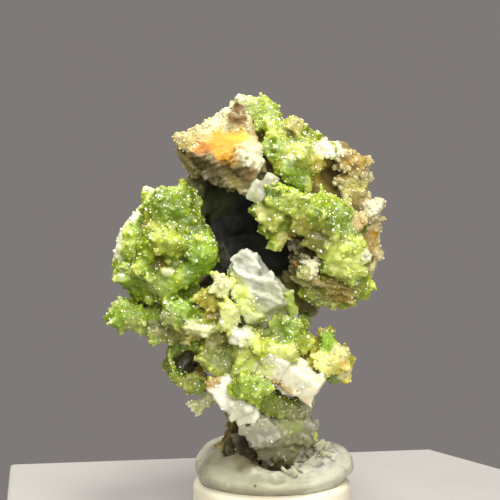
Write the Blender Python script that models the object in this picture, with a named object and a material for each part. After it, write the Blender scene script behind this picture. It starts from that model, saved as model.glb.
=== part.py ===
"""Pyromorphite specimen: green crystal druse and milky quartz grown on an iron-stained matrix.

The specimen is pressed by its foot into a blob of mineral putty on a small round base.
Lengths are millimetres in the lists below and are turned into metres as they are used.
X runs to the right, -Y faces the viewer, Z is up, and the origin is the centre of the
base's underside.
"""

import math
import random

import bmesh
import bpy
from mathutils import Matrix, Vector
from mathutils.bvhtree import BVHTree

MM = 0.001

# Driving dimensions
BASE_RADIUS = 12.0
BASE_HEIGHT = 6.0
BASE_SHOULDER = 1.1
BASE_SIDES = 32
PUTTY_RADIUS = 12.2
PUTTY_TOP = 11.4
PUTTY_WAVE = 0.35
PUTTY_GAP = 0.75
PUTTY_SIDES = 36
PUTTY_DIP = 2.4
PUTTY_DIP_RADIUS = 6.0
PUTTY_TRIANGLES = 420
GAP = 0.6
BASE_GAP = 0.35

# Surface grain of the lumpy solids
VOXEL = 0.55
CUTTER_VOXEL = 0.6
BUD_RADII = (0.8, 1.5)
CRYSTAL_RADII = (0.6, 0.95)
CRYSTAL_LENGTH = 2.1
CRYSTAL_ROOT = 0.45
CRYSTAL_TAPER = 0.86
LEAST_CRYSTAL_ROOM = 1.3
CRYSTAL_SEED = 20

# The rock's own grain
ROCK_SEED = 9
ROCK_GRAIN = 3.0
ROCK_SWELL = 0.8
ROCK_BUDS = 34
ROCK_TRIANGLES = 1250

# Colour, roughness and metallic value of each finish
FINISHES = {
    "cream_plastic": ((0.83, 0.78, 0.62), 0.35),
    "putty": ((0.62, 0.58, 0.45), 0.55),
    "iron_stained_rock": ((0.62, 0.45, 0.20), 0.85),
    "pyromorphite": ((0.42, 0.55, 0.08), 0.25),
    "milky_quartz": ((0.80, 0.80, 0.72), 0.30),
}

# Lumps of each mass: centre x, y, z and radius
LEFT_LOBE = [
    (-16.3, -3.0, 47.6, 3.5), (-13.4, -1.5, 48.2, 2.4), (-18.2, -1.0, 49.2, 1.7),
    (-20.3, 1.0, 42.5, 3.5), (-22.2, 0.0, 40.2, 2.3), (-16.0, -5.0, 43.6, 3.9),
    (-11.2, -5.0, 41.4, 3.6), (-10.6, -3.4, 43.2, 2.6), (-18.2, -3.5, 39.0, 3.2),
    (-21.4, -1.0, 37.2, 2.2), (-13.3, -6.3, 37.8, 2.3), (-15.3, -4.5, 35.4, 2.4),
    (-19.0, -1.5, 35.0, 2.1), (-15.0, 4.0, 42.0, 5.0), (-17.0, 4.4, 46.0, 3.4),
    (-16.6, 3.4, 38.0, 3.6), (-12.6, 4.6, 45.5, 2.8), (-12.2, -2.4, 49.2, 1.8),
    (-12.5, -3.4, 46.0, 2.6), (-16.6, -6.4, 37.2, 2.1), (-14.0, 7.4, 42.0, 2.8),
]
LOW_LEFT_LOBE = [
    (-22.0, -2.0, 32.0, 2.6), (-23.4, -2.0, 30.6, 1.6), (-19.8, -2.4, 30.6, 2.2),
    (-17.5, -2.0, 29.6, 1.7), (-16.2, -1.0, 31.6, 2.3), (-12.6, -5.5, 32.9, 2.8),
    (-14.4, -4.0, 29.8, 2.3), (-11.0, -2.0, 31.0, 3.0), (-10.8, -7.6, 30.4, 1.9),
    (-12.2, 1.5, 33.0, 3.2), (-12.0, 0.5, 28.6, 2.4), (-19.4, 2.2, 33.4, 2.4),
]
CRATER_RIM = [
    (-15.3, -1.6, 24.2, 1.5), (-14.7, -1.6, 22.0, 1.4), (-12.7, -1.6, 21.0, 1.5),
    (-14.6, -1.6, 26.6, 1.6), (-12.4, -2.0, 27.4, 1.7), (-14.0, 1.0, 24.2, 2.2),
    (-11.8, 1.4, 22.6, 2.0), (-12.0, 1.4, 26.0, 2.2),
]
CROWN = [
    (-4.0, 3.0, 61.4, 2.5), (-1.6, 3.0, 61.2, 2.6), (-6.3, 3.2, 60.4, 2.2),
    (-8.4, 2.6, 59.2, 1.7), (-0.2, 1.0, 59.4, 2.5), (0.5, -2.0, 56.6, 2.6),
    (2.8, 0.2, 58.0, 2.2), (3.4, 1.0, 59.9, 1.4), (4.7, -3.2, 55.6, 2.6),
    (6.6, -1.8, 56.2, 1.9), (2.0, -3.8, 53.9, 2.2), (4.2, -2.6, 52.2, 2.6),
    (0.0, 5.4, 57.6, 4.0), (4.6, 4.4, 55.4, 3.6), (-5.6, 5.6, 57.8, 3.4),
]
RIGHT_LEDGE = [
    (0.5, -6.4, 50.0, 2.5), (2.8, -7.2, 48.4, 2.9), (5.4, -7.4, 47.0, 2.9),
    (8.0, -7.0, 45.4, 3.0), (7.2, -4.2, 48.4, 2.6), (10.2, -4.2, 47.0, 2.6),
    (11.0, -5.8, 43.6, 2.7), (12.6, -3.0, 45.4, 2.2), (-1.4, -7.0, 47.6, 1.5),
    (-0.3, -7.2, 45.4, 1.4), (0.6, -7.0, 43.6, 1.1), (3.6, -7.2, 45.6, 1.8),
]
RIGHT_LOBE = [
    (11.7, -5.0, 39.8, 2.8), (11.0, -4.6, 37.0, 2.8), (8.5, -5.5, 37.2, 2.5),
    (9.6, -6.2, 39.8, 2.4), (11.4, -2.6, 34.4, 2.0), (8.7, -3.4, 34.4, 2.0),
    (6.0, -3.0, 34.6, 1.7), (13.0, -2.6, 36.4, 2.0), (12.6, -1.6, 39.6, 2.6),
    (5.2, -5.0, 36.6, 1.6),
]
WAIST = [
    (-7.2, -8.0, 36.4, 2.1), (-9.3, -6.4, 35.0, 2.0), (-5.9, -9.2, 33.2, 1.9),
    (-7.6, -6.5, 32.4, 2.2), (-3.4, -8.4, 28.2, 2.5), (-0.6, -8.8, 27.3, 2.5),
    (-4.9, -6.8, 29.6, 2.2), (2.8, -5.8, 30.2, 2.6), (4.3, -4.8, 28.2, 2.0),
    (1.6, -6.6, 27.0, 2.4), (-4.6, -7.4, 25.8, 2.2), (-7.6, -5.2, 28.0, 2.3),
    (-6.8, -5.4, 25.4, 1.9), (-8.6, -4.4, 30.0, 2.2),
]
RIGHT_ARM = [
    (5.4, -4.6, 26.8, 1.9), (7.7, -4.0, 28.5, 2.0), (9.6, -4.4, 25.2, 2.3),
    (7.2, -5.6, 24.4, 2.4), (11.2, -3.4, 26.0, 1.3), (9.6, -3.0, 22.4, 1.8),
    (11.2, -3.4, 23.8, 1.3), (5.8, -2.4, 25.4, 2.4),
]
STALK_CRUST = [
    (-2.0, -8.2, 21.2, 2.8), (2.0, -6.8, 18.0, 2.5), (4.2, -5.2, 16.4, 2.1),
    (-0.2, -7.4, 18.8, 2.4), (5.6, -2.6, 13.6, 1.6), (5.2, -3.8, 19.4, 2.0),
]
NUBS = [
    (-9.9, -3.0, 18.8, 1.5), (-10.9, -3.4, 17.4, 1.1), (-8.9, -2.6, 20.4, 1.7),
    (-7.6, -1.6, 19.0, 1.8),
]
BACK_CRUST = [
    (-2.4, 12.2, 48.0, 2.7), (1.4, 12.6, 45.0, 2.9), (5.0, 11.8, 47.6, 2.7),
    (-5.6, 11.8, 44.0, 2.6), (-1.8, 12.2, 41.0, 2.5), (8.4, 10.0, 44.2, 2.5),
    (3.6, 11.6, 41.2, 2.3), (-4.6, 11.0, 51.2, 2.2), (1.2, 11.2, 50.8, 2.4),
]
TRUNK = [
    (0.4, 0.0, 11.6, 4.1), (0.2, 0.4, 14.0, 5.2), (-0.8, 1.0, 18.0, 5.6),
    (-1.6, 1.6, 23.4, 6.0), (-2.2, 2.2, 28.6, 6.0), (-3.4, 5.4, 33.2, 5.8),
    (2.6, 5.2, 33.6, 4.8), (-6.0, 8.8, 38.6, 4.8), (-6.6, 9.2, 44.0, 4.4),
    (-5.4, 8.8, 49.4, 4.8), (0.4, 9.2, 44.6, 4.6), (2.4, 8.8, 49.6, 5.0),
    (1.0, 9.0, 39.2, 4.8), (6.4, 7.8, 46.4, 5.0), (6.8, 7.0, 40.8, 4.8),
    (-6.4, 5.2, 54.6, 3.8), (-2.0, 5.4, 55.2, 4.6), (4.4, 4.4, 53.4, 4.4),
    (-11.4, 3.0, 50.6, 2.4), (-10.6, 5.4, 47.0, 2.6), (-11.0, 6.0, 41.4, 3.0),
    (-10.4, 4.6, 36.4, 3.6), (7.8, 2.2, 46.4, 4.0), (8.0, 1.6, 41.4, 3.8),
    (7.0, 1.8, 36.8, 3.6), (6.2, -1.4, 44.4, 2.4), (10.8, 2.8, 48.4, 3.4),
    (10.6, 2.4, 43.4, 3.6), (9.8, 2.2, 38.8, 3.2),
]
PLATE_SUPPORT = [
    (-7.6, 1.4, 55.8, 3.2), (-11.4, 0.4, 54.8, 2.2), (-3.4, 0.0, 55.4, 3.2),
    (-12.9, -3.4, 57.6, 1.5), (-13.0, -2.6, 55.8, 1.3), (-7.4, 0.6, 59.4, 2.4),
    (-4.4, 0.4, 60.0, 2.2), (-10.0, -0.6, 58.2, 1.9),
]
OCHRE_EDGE = [
    (9.3, -1.0, 56.2, 2.0), (11.4, -0.6, 55.8, 1.7), (12.4, -0.4, 53.6, 2.1),
    (12.8, -0.4, 51.2, 1.9), (12.2, -0.6, 48.8, 1.8), (14.0, -0.4, 46.0, 2.1),
    (15.5, -0.4, 44.2, 1.3), (14.6, -0.4, 42.0, 1.8), (14.2, -0.4, 39.2, 1.7),
    (9.6, 1.6, 52.6, 3.6), (6.4, 1.8, 53.6, 3.4), (5.2, -6.6, 39.2, 1.8),
    (6.8, -7.0, 38.0, 1.3), (3.2, -5.6, 42.6, 1.3), (5.4, -2.6, 40.6, 2.4),
]
BACK_WAIST = [
    (1.6, 6.6, 27.6, 2.4), (-2.4, 7.2, 26.4, 2.3), (-5.8, 5.8, 29.0, 2.5),
    (4.2, 4.6, 29.8, 2.3), (-6.0, 5.0, 25.0, 2.0), (2.8, 5.4, 24.6, 1.9),
    (-1.0, 7.8, 29.6, 2.2),
]
ROCK_PITS = [(8.6, -2.2, 52.7, 3.0), (-7.0, -0.8, 61.6, 0.9)]
CRATER_PIT = [(-12.8, -3.0, 24.2, 2.1)]
STALK_SHELL = [
    (-7.0, -1.4, 17.0, 1.5), (-7.1, -1.6, 14.4, 1.4), (-6.7, -1.6, 12.0, 1.4),
    (-6.2, -1.6, 9.8, 1.4), (-4.4, -3.0, 8.6, 1.3), (-2.2, -4.6, 8.2, 1.2),
    (-8.3, -1.4, 12.8, 0.8), (-10.4, -2.0, 23.0, 1.5), (-9.6, -3.0, 21.4, 1.3),
    (7.2, -3.0, 10.4, 1.0), (7.4, -3.0, 11.8, 0.7), (5.2, -4.6, 9.4, 1.3),
]

# Each green mass: lumps, grain size, swell, buds, pits, triangles of its skin, crystals
DRUSE = {
    "pyromorphite_left_lobe": (LEFT_LOBE, 2.6, 0.6, 28, [], 950, 12),
    "pyromorphite_low_left_lobe": (LOW_LEFT_LOBE + CRATER_RIM, 2.4, 0.5, 20, CRATER_PIT, 740, 8),
    "pyromorphite_crown": (CROWN, 2.6, 0.6, 18, [], 620, 8),
    "pyromorphite_right_lobe": (RIGHT_LEDGE + RIGHT_LOBE, 2.4, 0.5, 24, [], 930, 12),
    "pyromorphite_waist": (WAIST, 2.4, 0.5, 12, [], 520, 6),
    "pyromorphite_right_arm": (RIGHT_ARM, 2.2, 0.5, 8, [], 320, 4),
    "pyromorphite_stalk_crust": (STALK_CRUST, 2.2, 0.5, 6, [], 240, 3),
    "pyromorphite_back_crust": (BACK_CRUST, 2.4, 0.6, 8, [], 360, 4),
    "pyromorphite_back_waist": (BACK_WAIST, 2.4, 0.6, 6, [], 260, 3),
    "pyromorphite_nub": (NUBS, 2.0, 0.4, 3, [], 110, 1),
}

# Corners of the broken plate at the upper left: it slopes down to the viewer
PLATE = [
    (-13.4, -4.4, 57.2), (-11.8, -7.4, 56.6), (-8.2, -8.8, 55.6), (-4.8, -8.8, 55.9),
    (-2.0, -7.6, 56.8), (-1.0, -5.0, 57.4), (-3.6, 0.8, 59.8), (-10.2, -0.4, 59.2),
    (-12.0, -5.6, 54.0), (-8.4, -7.2, 53.0), (-5.2, -7.6, 51.3), (-3.6, -7.0, 52.0),
    (-1.8, -5.6, 54.2), (-1.6, 0.8, 53.4), (-11.8, 0.4, 54.4),
]

# Corners of the milky quartz crystals
QUARTZ_CENTRE = [
    (-6.2, -7.4, 40.2), (-4.4, -7.0, 42.2), (-3.0, -6.6, 42.4), (-1.4, -6.4, 40.8),
    (-5.6, -9.6, 39.2), (-7.2, -7.6, 37.6), (-3.0, -10.2, 38.4), (0.4, -8.6, 37.6),
    (2.4, -6.4, 36.2), (3.4, -5.6, 33.8), (1.6, -8.6, 33.2), (-1.4, -10.0, 32.6),
    (-4.8, -9.6, 32.8), (-6.4, -8.8, 34.6), (-1.0, -7.6, 29.8), (-4.6, -7.2, 30.6),
    (1.4, -6.2, 30.6), (-4.0, -2.4, 31.0), (1.6, -2.4, 32.0), (-1.8, -3.6, 39.6),
    (-6.2, -4.0, 38.6), (2.0, -3.4, 35.4),
]
QUARTZ_LEFT = [
    (-9.0, -5.4, 22.8), (-6.0, -6.4, 24.2), (-3.8, -7.6, 22.8), (-8.4, -7.4, 20.2),
    (-5.4, -8.6, 20.6), (-6.2, -7.8, 17.0), (-3.4, -8.2, 18.0), (-4.0, -6.6, 15.6),
    (-7.6, -4.0, 17.6), (-4.6, -2.6, 16.4), (-8.4, -3.4, 21.6), (-4.6, -3.0, 23.0),
    (-2.8, -5.4, 17.2),
]
QUARTZ_RIGHT = [
    (1.0, -8.2, 27.0), (4.0, -7.4, 27.2), (2.6, -9.4, 25.4), (-2.4, -9.6, 24.6),
    (0.0, -10.2, 22.0), (4.8, -9.0, 21.4), (7.4, -6.8, 22.0), (6.6, -7.6, 20.2),
    (4.2, -8.6, 19.8), (1.2, -8.8, 21.0), (6.0, -6.4, 24.8), (0.0, -5.4, 24.4),
    (5.2, -3.4, 21.8), (1.0, -4.4, 21.4),
]
QUARTZ_FOOT = [
    (-4.0, -6.4, 17.2), (-1.0, -7.6, 17.6), (2.6, -7.0, 17.4), (-4.4, -6.2, 14.8),
    (-2.6, -7.6, 13.0), (1.2, -8.2, 13.2), (-1.6, -7.0, 9.6), (2.0, -7.0, 9.0),
    (0.2, -5.2, 7.4), (4.8, -5.8, 14.6), (5.8, -4.0, 16.6), (5.0, -4.8, 11.2),
    (3.6, -4.4, 8.6), (-2.8, -2.8, 15.0), (-0.6, -2.2, 9.0), (4.4, -1.6, 13.0),
    (3.2, -1.6, 16.6),
]
QUARTZ_LEDGE = [
    (-2.8, -8.8, 49.6), (-1.6, -9.6, 50.4), (-0.6, -9.2, 52.4), (0.6, -8.6, 52.0),
    (-2.6, -8.0, 47.8), (-1.2, -9.2, 48.4), (0.0, -7.0, 51.4), (-1.6, -6.4, 49.2),
    (-3.4, -7.2, 51.2), (-2.6, -8.2, 52.4), (-2.2, -6.0, 51.6),
]


def clear_scene():
    for old in list(bpy.data.objects):
        bpy.data.objects.remove(old)


def finish(name):
    """The material of that name, made once."""
    found = bpy.data.materials.get(name)
    if found:
        return found
    colour, roughness = FINISHES[name]
    made = bpy.data.materials.new(name)
    made.use_nodes = True
    shader = made.node_tree.nodes["Principled BSDF"]
    shader.inputs["Base Color"].default_value = (*colour, 1)
    shader.inputs["Roughness"].default_value = roughness
    shader.inputs["Metallic"].default_value = 0
    return made


def add_object(name, shape, material=None):
    """A new object from a bmesh, which is used up."""
    mesh = bpy.data.meshes.new(name)
    shape.to_mesh(mesh)
    shape.free()
    made = bpy.data.objects.new(name, mesh)
    bpy.context.scene.collection.objects.link(made)
    if material:
        mesh.materials.append(finish(material))
    return made


def apply_modifiers(piece):
    """Makes the object's evaluated mesh its own."""
    graph = bpy.context.evaluated_depsgraph_get()
    mesh = bpy.data.meshes.new_from_object(piece.evaluated_get(graph))
    piece.modifiers.clear()
    piece.data = mesh


def discard(piece):
    bpy.data.objects.remove(piece)


def bvh_of(piece):
    return BVHTree.FromPolygons(
        [v.co.copy() for v in piece.data.vertices],
        [tuple(p.vertices) for p in piece.data.polygons],
    )


def budded(lumps, count, seed):
    """The lumps with that many small ones added, each half out of a lump's free side."""
    rng = random.Random(seed)
    buds = []
    while len(buds) < count:
        x, y, z, radius = rng.choice(lumps)
        way = Vector([rng.gauss(0, 1) for axis in "xyz"]).normalized()
        spot = Vector((x, y, z)) + way * radius
        size = rng.uniform(*BUD_RADII)
        depths = [r - (spot - Vector((a, b, c))).length for a, b, c, r in lumps + buds]
        if max(depths) < 0.3 * size:
            buds.append((*spot, size))
    return lumps + buds


def lump_shape(lumps, seed, roughness):
    """Overlapping balls, each with its corners pushed in and out a little."""
    rng = random.Random(seed)
    shape = bmesh.new()
    for x, y, z, radius in lumps:
        turn = Matrix.Rotation(rng.uniform(0, math.tau), 4, "Z")
        place = Matrix.Translation(Vector((x, y, z)) * MM) @ turn
        made = bmesh.ops.create_icosphere(shape, subdivisions=2, radius=radius * MM, matrix=place)
        centre = Vector((x, y, z)) * MM
        for corner in made["verts"]:
            corner.co += (corner.co - centre) * rng.uniform(-roughness, roughness)
    return shape


def hull_shape(corners):
    """The convex solid through these corners."""
    shape = bmesh.new()
    for corner in corners:
        shape.verts.new(Vector(corner) * MM)
    found = bmesh.ops.convex_hull(shape, input=shape.verts)
    spare = [v for v in found["geom_interior"] if isinstance(v, bmesh.types.BMVert)]
    bmesh.ops.delete(shape, geom=spare, context="VERTS")
    bmesh.ops.recalc_face_normals(shape, faces=shape.faces)
    return shape


def fuse(piece, voxel):
    """Joins overlapping shapes into one skin."""
    remesh = piece.modifiers.new("fuse", "REMESH")
    remesh.mode = "VOXEL"
    remesh.voxel_size = voxel * MM
    apply_modifiers(piece)


def grow(piece, amount):
    swell = piece.modifiers.new("grow", "DISPLACE")
    swell.mid_level = 0
    swell.strength = amount * MM
    apply_modifiers(piece)


def roughen(piece, size, amount):
    """Pushes the skin in and out by a cell pattern, as broken or drusy rock is."""
    pattern = bpy.data.textures.new(piece.name + "_grain", "VORONOI")
    pattern.noise_scale = size * MM
    push = piece.modifiers.new("roughen", "DISPLACE")
    push.texture = pattern
    push.texture_coords = "LOCAL"
    push.mid_level = 0.4
    push.strength = amount * MM
    apply_modifiers(piece)


def thin_out(piece, triangles):
    """Cuts the skin down to about that many triangles."""
    count = sum(len(p.vertices) - 2 for p in piece.data.polygons)
    fewer = piece.modifiers.new("thin_out", "DECIMATE")
    fewer.ratio = min(1.0, triangles / count)
    fewer.use_collapse_triangulate = True
    apply_modifiers(piece)


def keep_largest(piece):
    """Drops the crumbs that a cut leaves behind."""
    shape = bmesh.new()
    shape.from_mesh(piece.data)
    bmesh.ops.remove_doubles(shape, verts=shape.verts, dist=0.002 * MM)
    left = set(shape.verts)
    islands = []
    while left:
        island = set()
        front = [next(iter(left))]
        while front:
            corner = front.pop()
            if corner in left:
                left.discard(corner)
                island.add(corner)
                front += [edge.other_vert(corner) for edge in corner.link_edges]
        islands.append(island)
    islands.sort(key=len)
    crumbs = [corner for island in islands[:-1] for corner in island]
    bmesh.ops.delete(shape, geom=crumbs, context="VERTS")
    bmesh.ops.triangulate(shape, faces=shape.faces)
    shape.to_mesh(piece.data)
    shape.free()


def settle(piece, triangles):
    """A clean skin of about that many triangles, with the slivers of its cuts gone."""
    fuse(piece, VOXEL)
    keep_largest(piece)
    thin_out(piece, triangles)


def combine(piece, other, operation):
    join = piece.modifiers.new("combine", "BOOLEAN")
    join.operation = operation
    join.object = other
    join.solver = "EXACT"
    join.use_self = operation == "UNION"
    apply_modifiers(piece)


def grown_copy(piece, amount):
    """A hidden copy of the piece, thicker all over by amount, to cut its neighbours with."""
    copy = bpy.data.objects.new(piece.name + "_cutter", piece.data.copy())
    bpy.context.scene.collection.objects.link(copy)
    grow(copy, amount)
    fuse(copy, CUTTER_VOXEL)
    return copy


def apart(piece, other, gap):
    """Whether the boxes around two pieces stay further apart than the gap."""
    for axis in range(3):
        mine = [v.co[axis] for v in piece.data.vertices]
        its = [v.co[axis] for v in other.data.vertices]
        if min(mine) > max(its) + gap or min(its) > max(mine) + gap:
            return True
    return False


def carve(piece, neighbours, gap=GAP):
    """Cuts the piece back from each neighbour, which leaves a thin gap between them."""
    for neighbour in neighbours:
        if apart(piece, neighbour, 2 * gap * MM):
            continue
        cutter = grown_copy(neighbour, gap)
        combine(piece, cutter, "DIFFERENCE")
        discard(cutter)
    keep_largest(piece)


def mass(name, lumps, seed, material, grain, swell, buds=0, hulls=(), pits=()):
    """One lumpy skin through a list of lumps and flat-faced blocks, with pits sunk in it."""
    shape = lump_shape(budded(lumps, buds, seed), seed, 0.10)
    piece = add_object(name, shape, material)
    for corners in hulls:
        block = add_object(name + "_block", hull_shape(corners))
        combine(piece, block, "UNION")
        discard(block)
    fuse(piece, VOXEL)
    roughen(piece, grain, swell)
    fuse(piece, VOXEL)
    for pit in pits:
        hole = add_object(name + "_pit", lump_shape([pit], seed, 0.10))
        combine(piece, hole, "DIFFERENCE")
        discard(hole)
    return piece


def crystal_shape(shape, place, radius, length):
    """One six-sided prism with a flat end, its foot sunk in the skin."""
    rings = []
    for height, width in ((-CRYSTAL_ROOT, CRYSTAL_TAPER), (1 - CRYSTAL_ROOT, 1.0)):
        corners = []
        for side in range(6):
            angle = math.tau * side / 6
            across = Vector((math.cos(angle), math.sin(angle), 0)) * width * radius
            corners.append(shape.verts.new(place @ (across + Vector((0, 0, height * length)))))
        rings.append(corners)
    foot, tip = rings
    for side in range(6):
        after = (side + 1) % 6
        shape.faces.new((foot[side], foot[after], tip[after], tip[side]))
    shape.faces.new(foot[::-1])
    shape.faces.new(tip)


def crystals_on(piece, neighbours, count, seed):
    """Fuses crystals to the free side of a skin, clear of every neighbour and of each other."""
    rng = random.Random(seed)
    near = [bvh_of(other) for other in neighbours]
    faces = [p for p in piece.data.polygons]
    areas = [p.area for p in faces]
    shape = bmesh.new()
    placed = []
    for face in rng.choices(faces, weights=areas, k=count * 6):
        spot = face.center.copy()
        radius = rng.uniform(*CRYSTAL_RADII) * MM
        tip = spot + face.normal * radius * 1.6
        if any((spot - other).length < 2.2 * radius for other in placed):
            continue
        room = LEAST_CRYSTAL_ROOM * MM
        if any(tree.find_nearest(p)[3] < room for tree in near for p in (spot, tip)):
            continue
        lean = Vector([rng.uniform(-0.45, 0.45) for axis in "xyz"])
        along = (face.normal + lean).normalized()
        turn = along.to_track_quat("Z", "Y").to_matrix().to_4x4()
        spin = Matrix.Rotation(rng.uniform(0, math.tau), 4, "Z")
        crystal_shape(shape, Matrix.Translation(spot) @ turn @ spin, radius, radius * CRYSTAL_LENGTH)
        placed.append(spot)
        if len(placed) == count:
            break
    cluster = add_object(piece.name + "_crystals", shape)
    combine(piece, cluster, "UNION")
    discard(cluster)
    keep_largest(piece)


def flat_shaded(piece):
    for face in piece.data.polygons:
        face.use_smooth = False


def make_base():
    """The round base: a turned disc with a rounded upper shoulder."""
    steps = 3
    rim = BASE_RADIUS - BASE_SHOULDER
    profile = [(0, 0), (BASE_RADIUS - 0.3, 0), (BASE_RADIUS, 0.3)]
    for step in range(steps + 1):
        angle = math.pi / 2 * step / steps
        across = rim + BASE_SHOULDER * math.cos(angle)
        up = BASE_HEIGHT - BASE_SHOULDER + BASE_SHOULDER * math.sin(angle)
        profile.append((across, up))
    profile.append((0, BASE_HEIGHT))
    return add_object("display_base", turned(profile, BASE_SIDES), "cream_plastic")


def turned(profile, sides):
    """The solid that a profile of radius and height sweeps about the Z axis."""
    shape = bmesh.new()
    points = [shape.verts.new((r * MM, 0, z * MM)) for r, z in profile]
    edges = [shape.edges.new(pair) for pair in zip(points, points[1:])]
    bmesh.ops.spin(
        shape, geom=points + edges, axis=(0, 0, 1), cent=(0, 0, 0), steps=sides,
        angle=math.tau, use_merge=True,
    )
    bmesh.ops.remove_doubles(shape, verts=shape.verts, dist=0.01 * MM)
    bmesh.ops.recalc_face_normals(shape, faces=shape.faces)
    return shape


def make_putty(specimen):
    """A squashed blob of putty with a socket where the specimen's foot is pressed in."""
    low = BASE_HEIGHT + BASE_GAP
    high = PUTTY_TOP
    profile = [
        (0, low), (PUTTY_RADIUS - 1.2, low), (PUTTY_RADIUS - 0.3, low + 0.7),
        (PUTTY_RADIUS, low + 1.6), (PUTTY_RADIUS - 0.3, low + 2.8),
        (PUTTY_RADIUS - 1.6, high - 0.9), (PUTTY_RADIUS - 3.6, high - 0.1),
        (PUTTY_RADIUS - 6.4, high), (0, high),
    ]
    piece = add_object("mounting_putty", turned(profile, PUTTY_SIDES), "putty")
    for corner in piece.data.vertices:
        angle = math.atan2(corner.co.y, corner.co.x)
        height = (corner.co.z / MM - low) / (high - low)
        wave = math.sin(3 * angle + 0.6) + 0.7 * math.sin(5 * angle + 2.0)
        across = math.hypot(corner.co.x, corner.co.y) / MM
        front = max(0.0, -math.sin(angle)) * min(1.0, across / PUTTY_DIP_RADIUS)
        if height > 0.02:
            corner.co.z += (0.5 * PUTTY_WAVE * wave - PUTTY_DIP * front) * height * MM
        if across > PUTTY_DIP_RADIUS:
            corner.co.x *= 1 + PUTTY_WAVE * wave / across
            corner.co.y *= 1 + PUTTY_WAVE * wave / across
    carve(piece, specimen, PUTTY_GAP)
    settle(piece, PUTTY_TRIANGLES)
    return piece


def make_quartz(name, corners):
    """A milky quartz crystal: a flat-faced block with its edges nicked."""
    piece = add_object(name, hull_shape(corners), "milky_quartz")
    edge = piece.modifiers.new("nicked_edges", "BEVEL")
    edge.width = 0.35 * MM
    edge.segments = 1
    edge.limit_method = "ANGLE"
    apply_modifiers(piece)
    keep_largest(piece)
    return piece


def make_specimen():
    quartz = [
        make_quartz("quartz_centre", QUARTZ_CENTRE),
        make_quartz("quartz_waist_left", QUARTZ_LEFT),
        make_quartz("quartz_waist_right", QUARTZ_RIGHT),
        make_quartz("quartz_foot", QUARTZ_FOOT),
        make_quartz("quartz_ledge", QUARTZ_LEDGE),
    ]
    for index, piece in enumerate(quartz):
        carve(piece, quartz[:index])

    masses = []
    for seed, (name, (lumps, grain, swell, buds, pits, triangles, crystals)) in enumerate(DRUSE.items()):
        masses.append(mass(name, lumps, seed, "pyromorphite", grain, swell, buds, pits=pits))
    rock = mass(
        "matrix_rock", TRUNK + PLATE_SUPPORT + OCHRE_EDGE + STALK_SHELL, ROCK_SEED,
        "iron_stained_rock", ROCK_GRAIN, ROCK_SWELL, ROCK_BUDS, hulls=[PLATE], pits=ROCK_PITS,
    )
    for index, piece in enumerate(masses):
        carve(piece, quartz + masses[:index])
        settle(piece, DRUSE[piece.name][-2])
    carve(rock, quartz + masses)
    settle(rock, ROCK_TRIANGLES)

    everything = quartz + masses + [rock]
    for index, piece in enumerate(masses):
        others = [other for other in everything if other is not piece]
        crystals_on(piece, others, DRUSE[piece.name][-1], CRYSTAL_SEED + index)
    return everything


def main():
    clear_scene()
    specimen = make_specimen()
    foot = [piece for piece in specimen if min(v.co.z for v in piece.data.vertices) < 14 * MM]
    putty = make_putty(foot)
    base = make_base()
    for piece in specimen + [putty, base]:
        flat_shaded(piece)


main()
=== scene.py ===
import math
import random

import bpy
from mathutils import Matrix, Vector, noise


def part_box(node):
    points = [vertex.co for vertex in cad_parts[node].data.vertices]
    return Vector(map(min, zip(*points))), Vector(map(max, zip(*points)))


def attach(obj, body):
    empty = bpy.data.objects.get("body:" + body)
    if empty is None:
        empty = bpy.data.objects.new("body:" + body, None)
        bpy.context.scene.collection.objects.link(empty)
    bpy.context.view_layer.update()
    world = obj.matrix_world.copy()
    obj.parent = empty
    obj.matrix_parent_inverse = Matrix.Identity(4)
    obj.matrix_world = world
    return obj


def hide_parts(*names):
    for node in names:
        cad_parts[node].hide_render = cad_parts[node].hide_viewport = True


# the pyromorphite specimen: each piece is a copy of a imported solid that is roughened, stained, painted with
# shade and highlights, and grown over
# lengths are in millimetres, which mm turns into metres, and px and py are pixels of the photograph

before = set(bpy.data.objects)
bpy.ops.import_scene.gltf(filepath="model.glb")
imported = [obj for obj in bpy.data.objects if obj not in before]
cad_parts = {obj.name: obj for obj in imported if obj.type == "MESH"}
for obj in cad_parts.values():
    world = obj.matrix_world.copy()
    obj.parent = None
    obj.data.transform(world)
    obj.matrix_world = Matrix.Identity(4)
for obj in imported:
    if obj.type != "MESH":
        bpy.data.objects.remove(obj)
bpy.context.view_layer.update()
mm = 0.001
sameCorner = 0.001  # corners nearer than this many millimetres are one
levelFace = 0.9  # a face turned at least this far up or down is taken as level
flakeSides = 11  # round the flat lumps

# how far the corners of an angular lump are pushed about: shares of its size
spread = {"lump": (0.8, 1.15), "crag": (0.7, 1.15), "block": (0.75, 1.2)}


def deselectAll():
    bpy.ops.object.select_all(action="DESELECT")


def pick(piece, *others):
    deselectAll()
    for each in (piece, *others):
        each.select_set(True)
    bpy.context.view_layer.objects.active = piece


def useModifier(piece, kind, **values):
    pick(piece)
    made = piece.modifiers.new(kind.lower(), kind)
    for key, value in values.items():
        setattr(made, key, value)
    bpy.ops.object.modifier_apply(modifier=made.name)


def editing(on):
    bpy.ops.object.mode_set(mode="EDIT" if on else "OBJECT")


def settle(piece):
    # puts the object at the origin with its place in its mesh
    pick(piece)
    bpy.ops.object.transform_apply(location=True, rotation=True, scale=True)


def weldSkin(piece, voxel):
    # makes one closed skin of everything in the piece
    useModifier(piece, "REMESH", mode="VOXEL", voxel_size=voxel * mm, use_smooth_shade=True)


def swell(piece, amount):
    # moves the whole skin out by that many millimetres, or in
    useModifier(piece, "DISPLACE", mid_level=0, strength=amount * mm)


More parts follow.
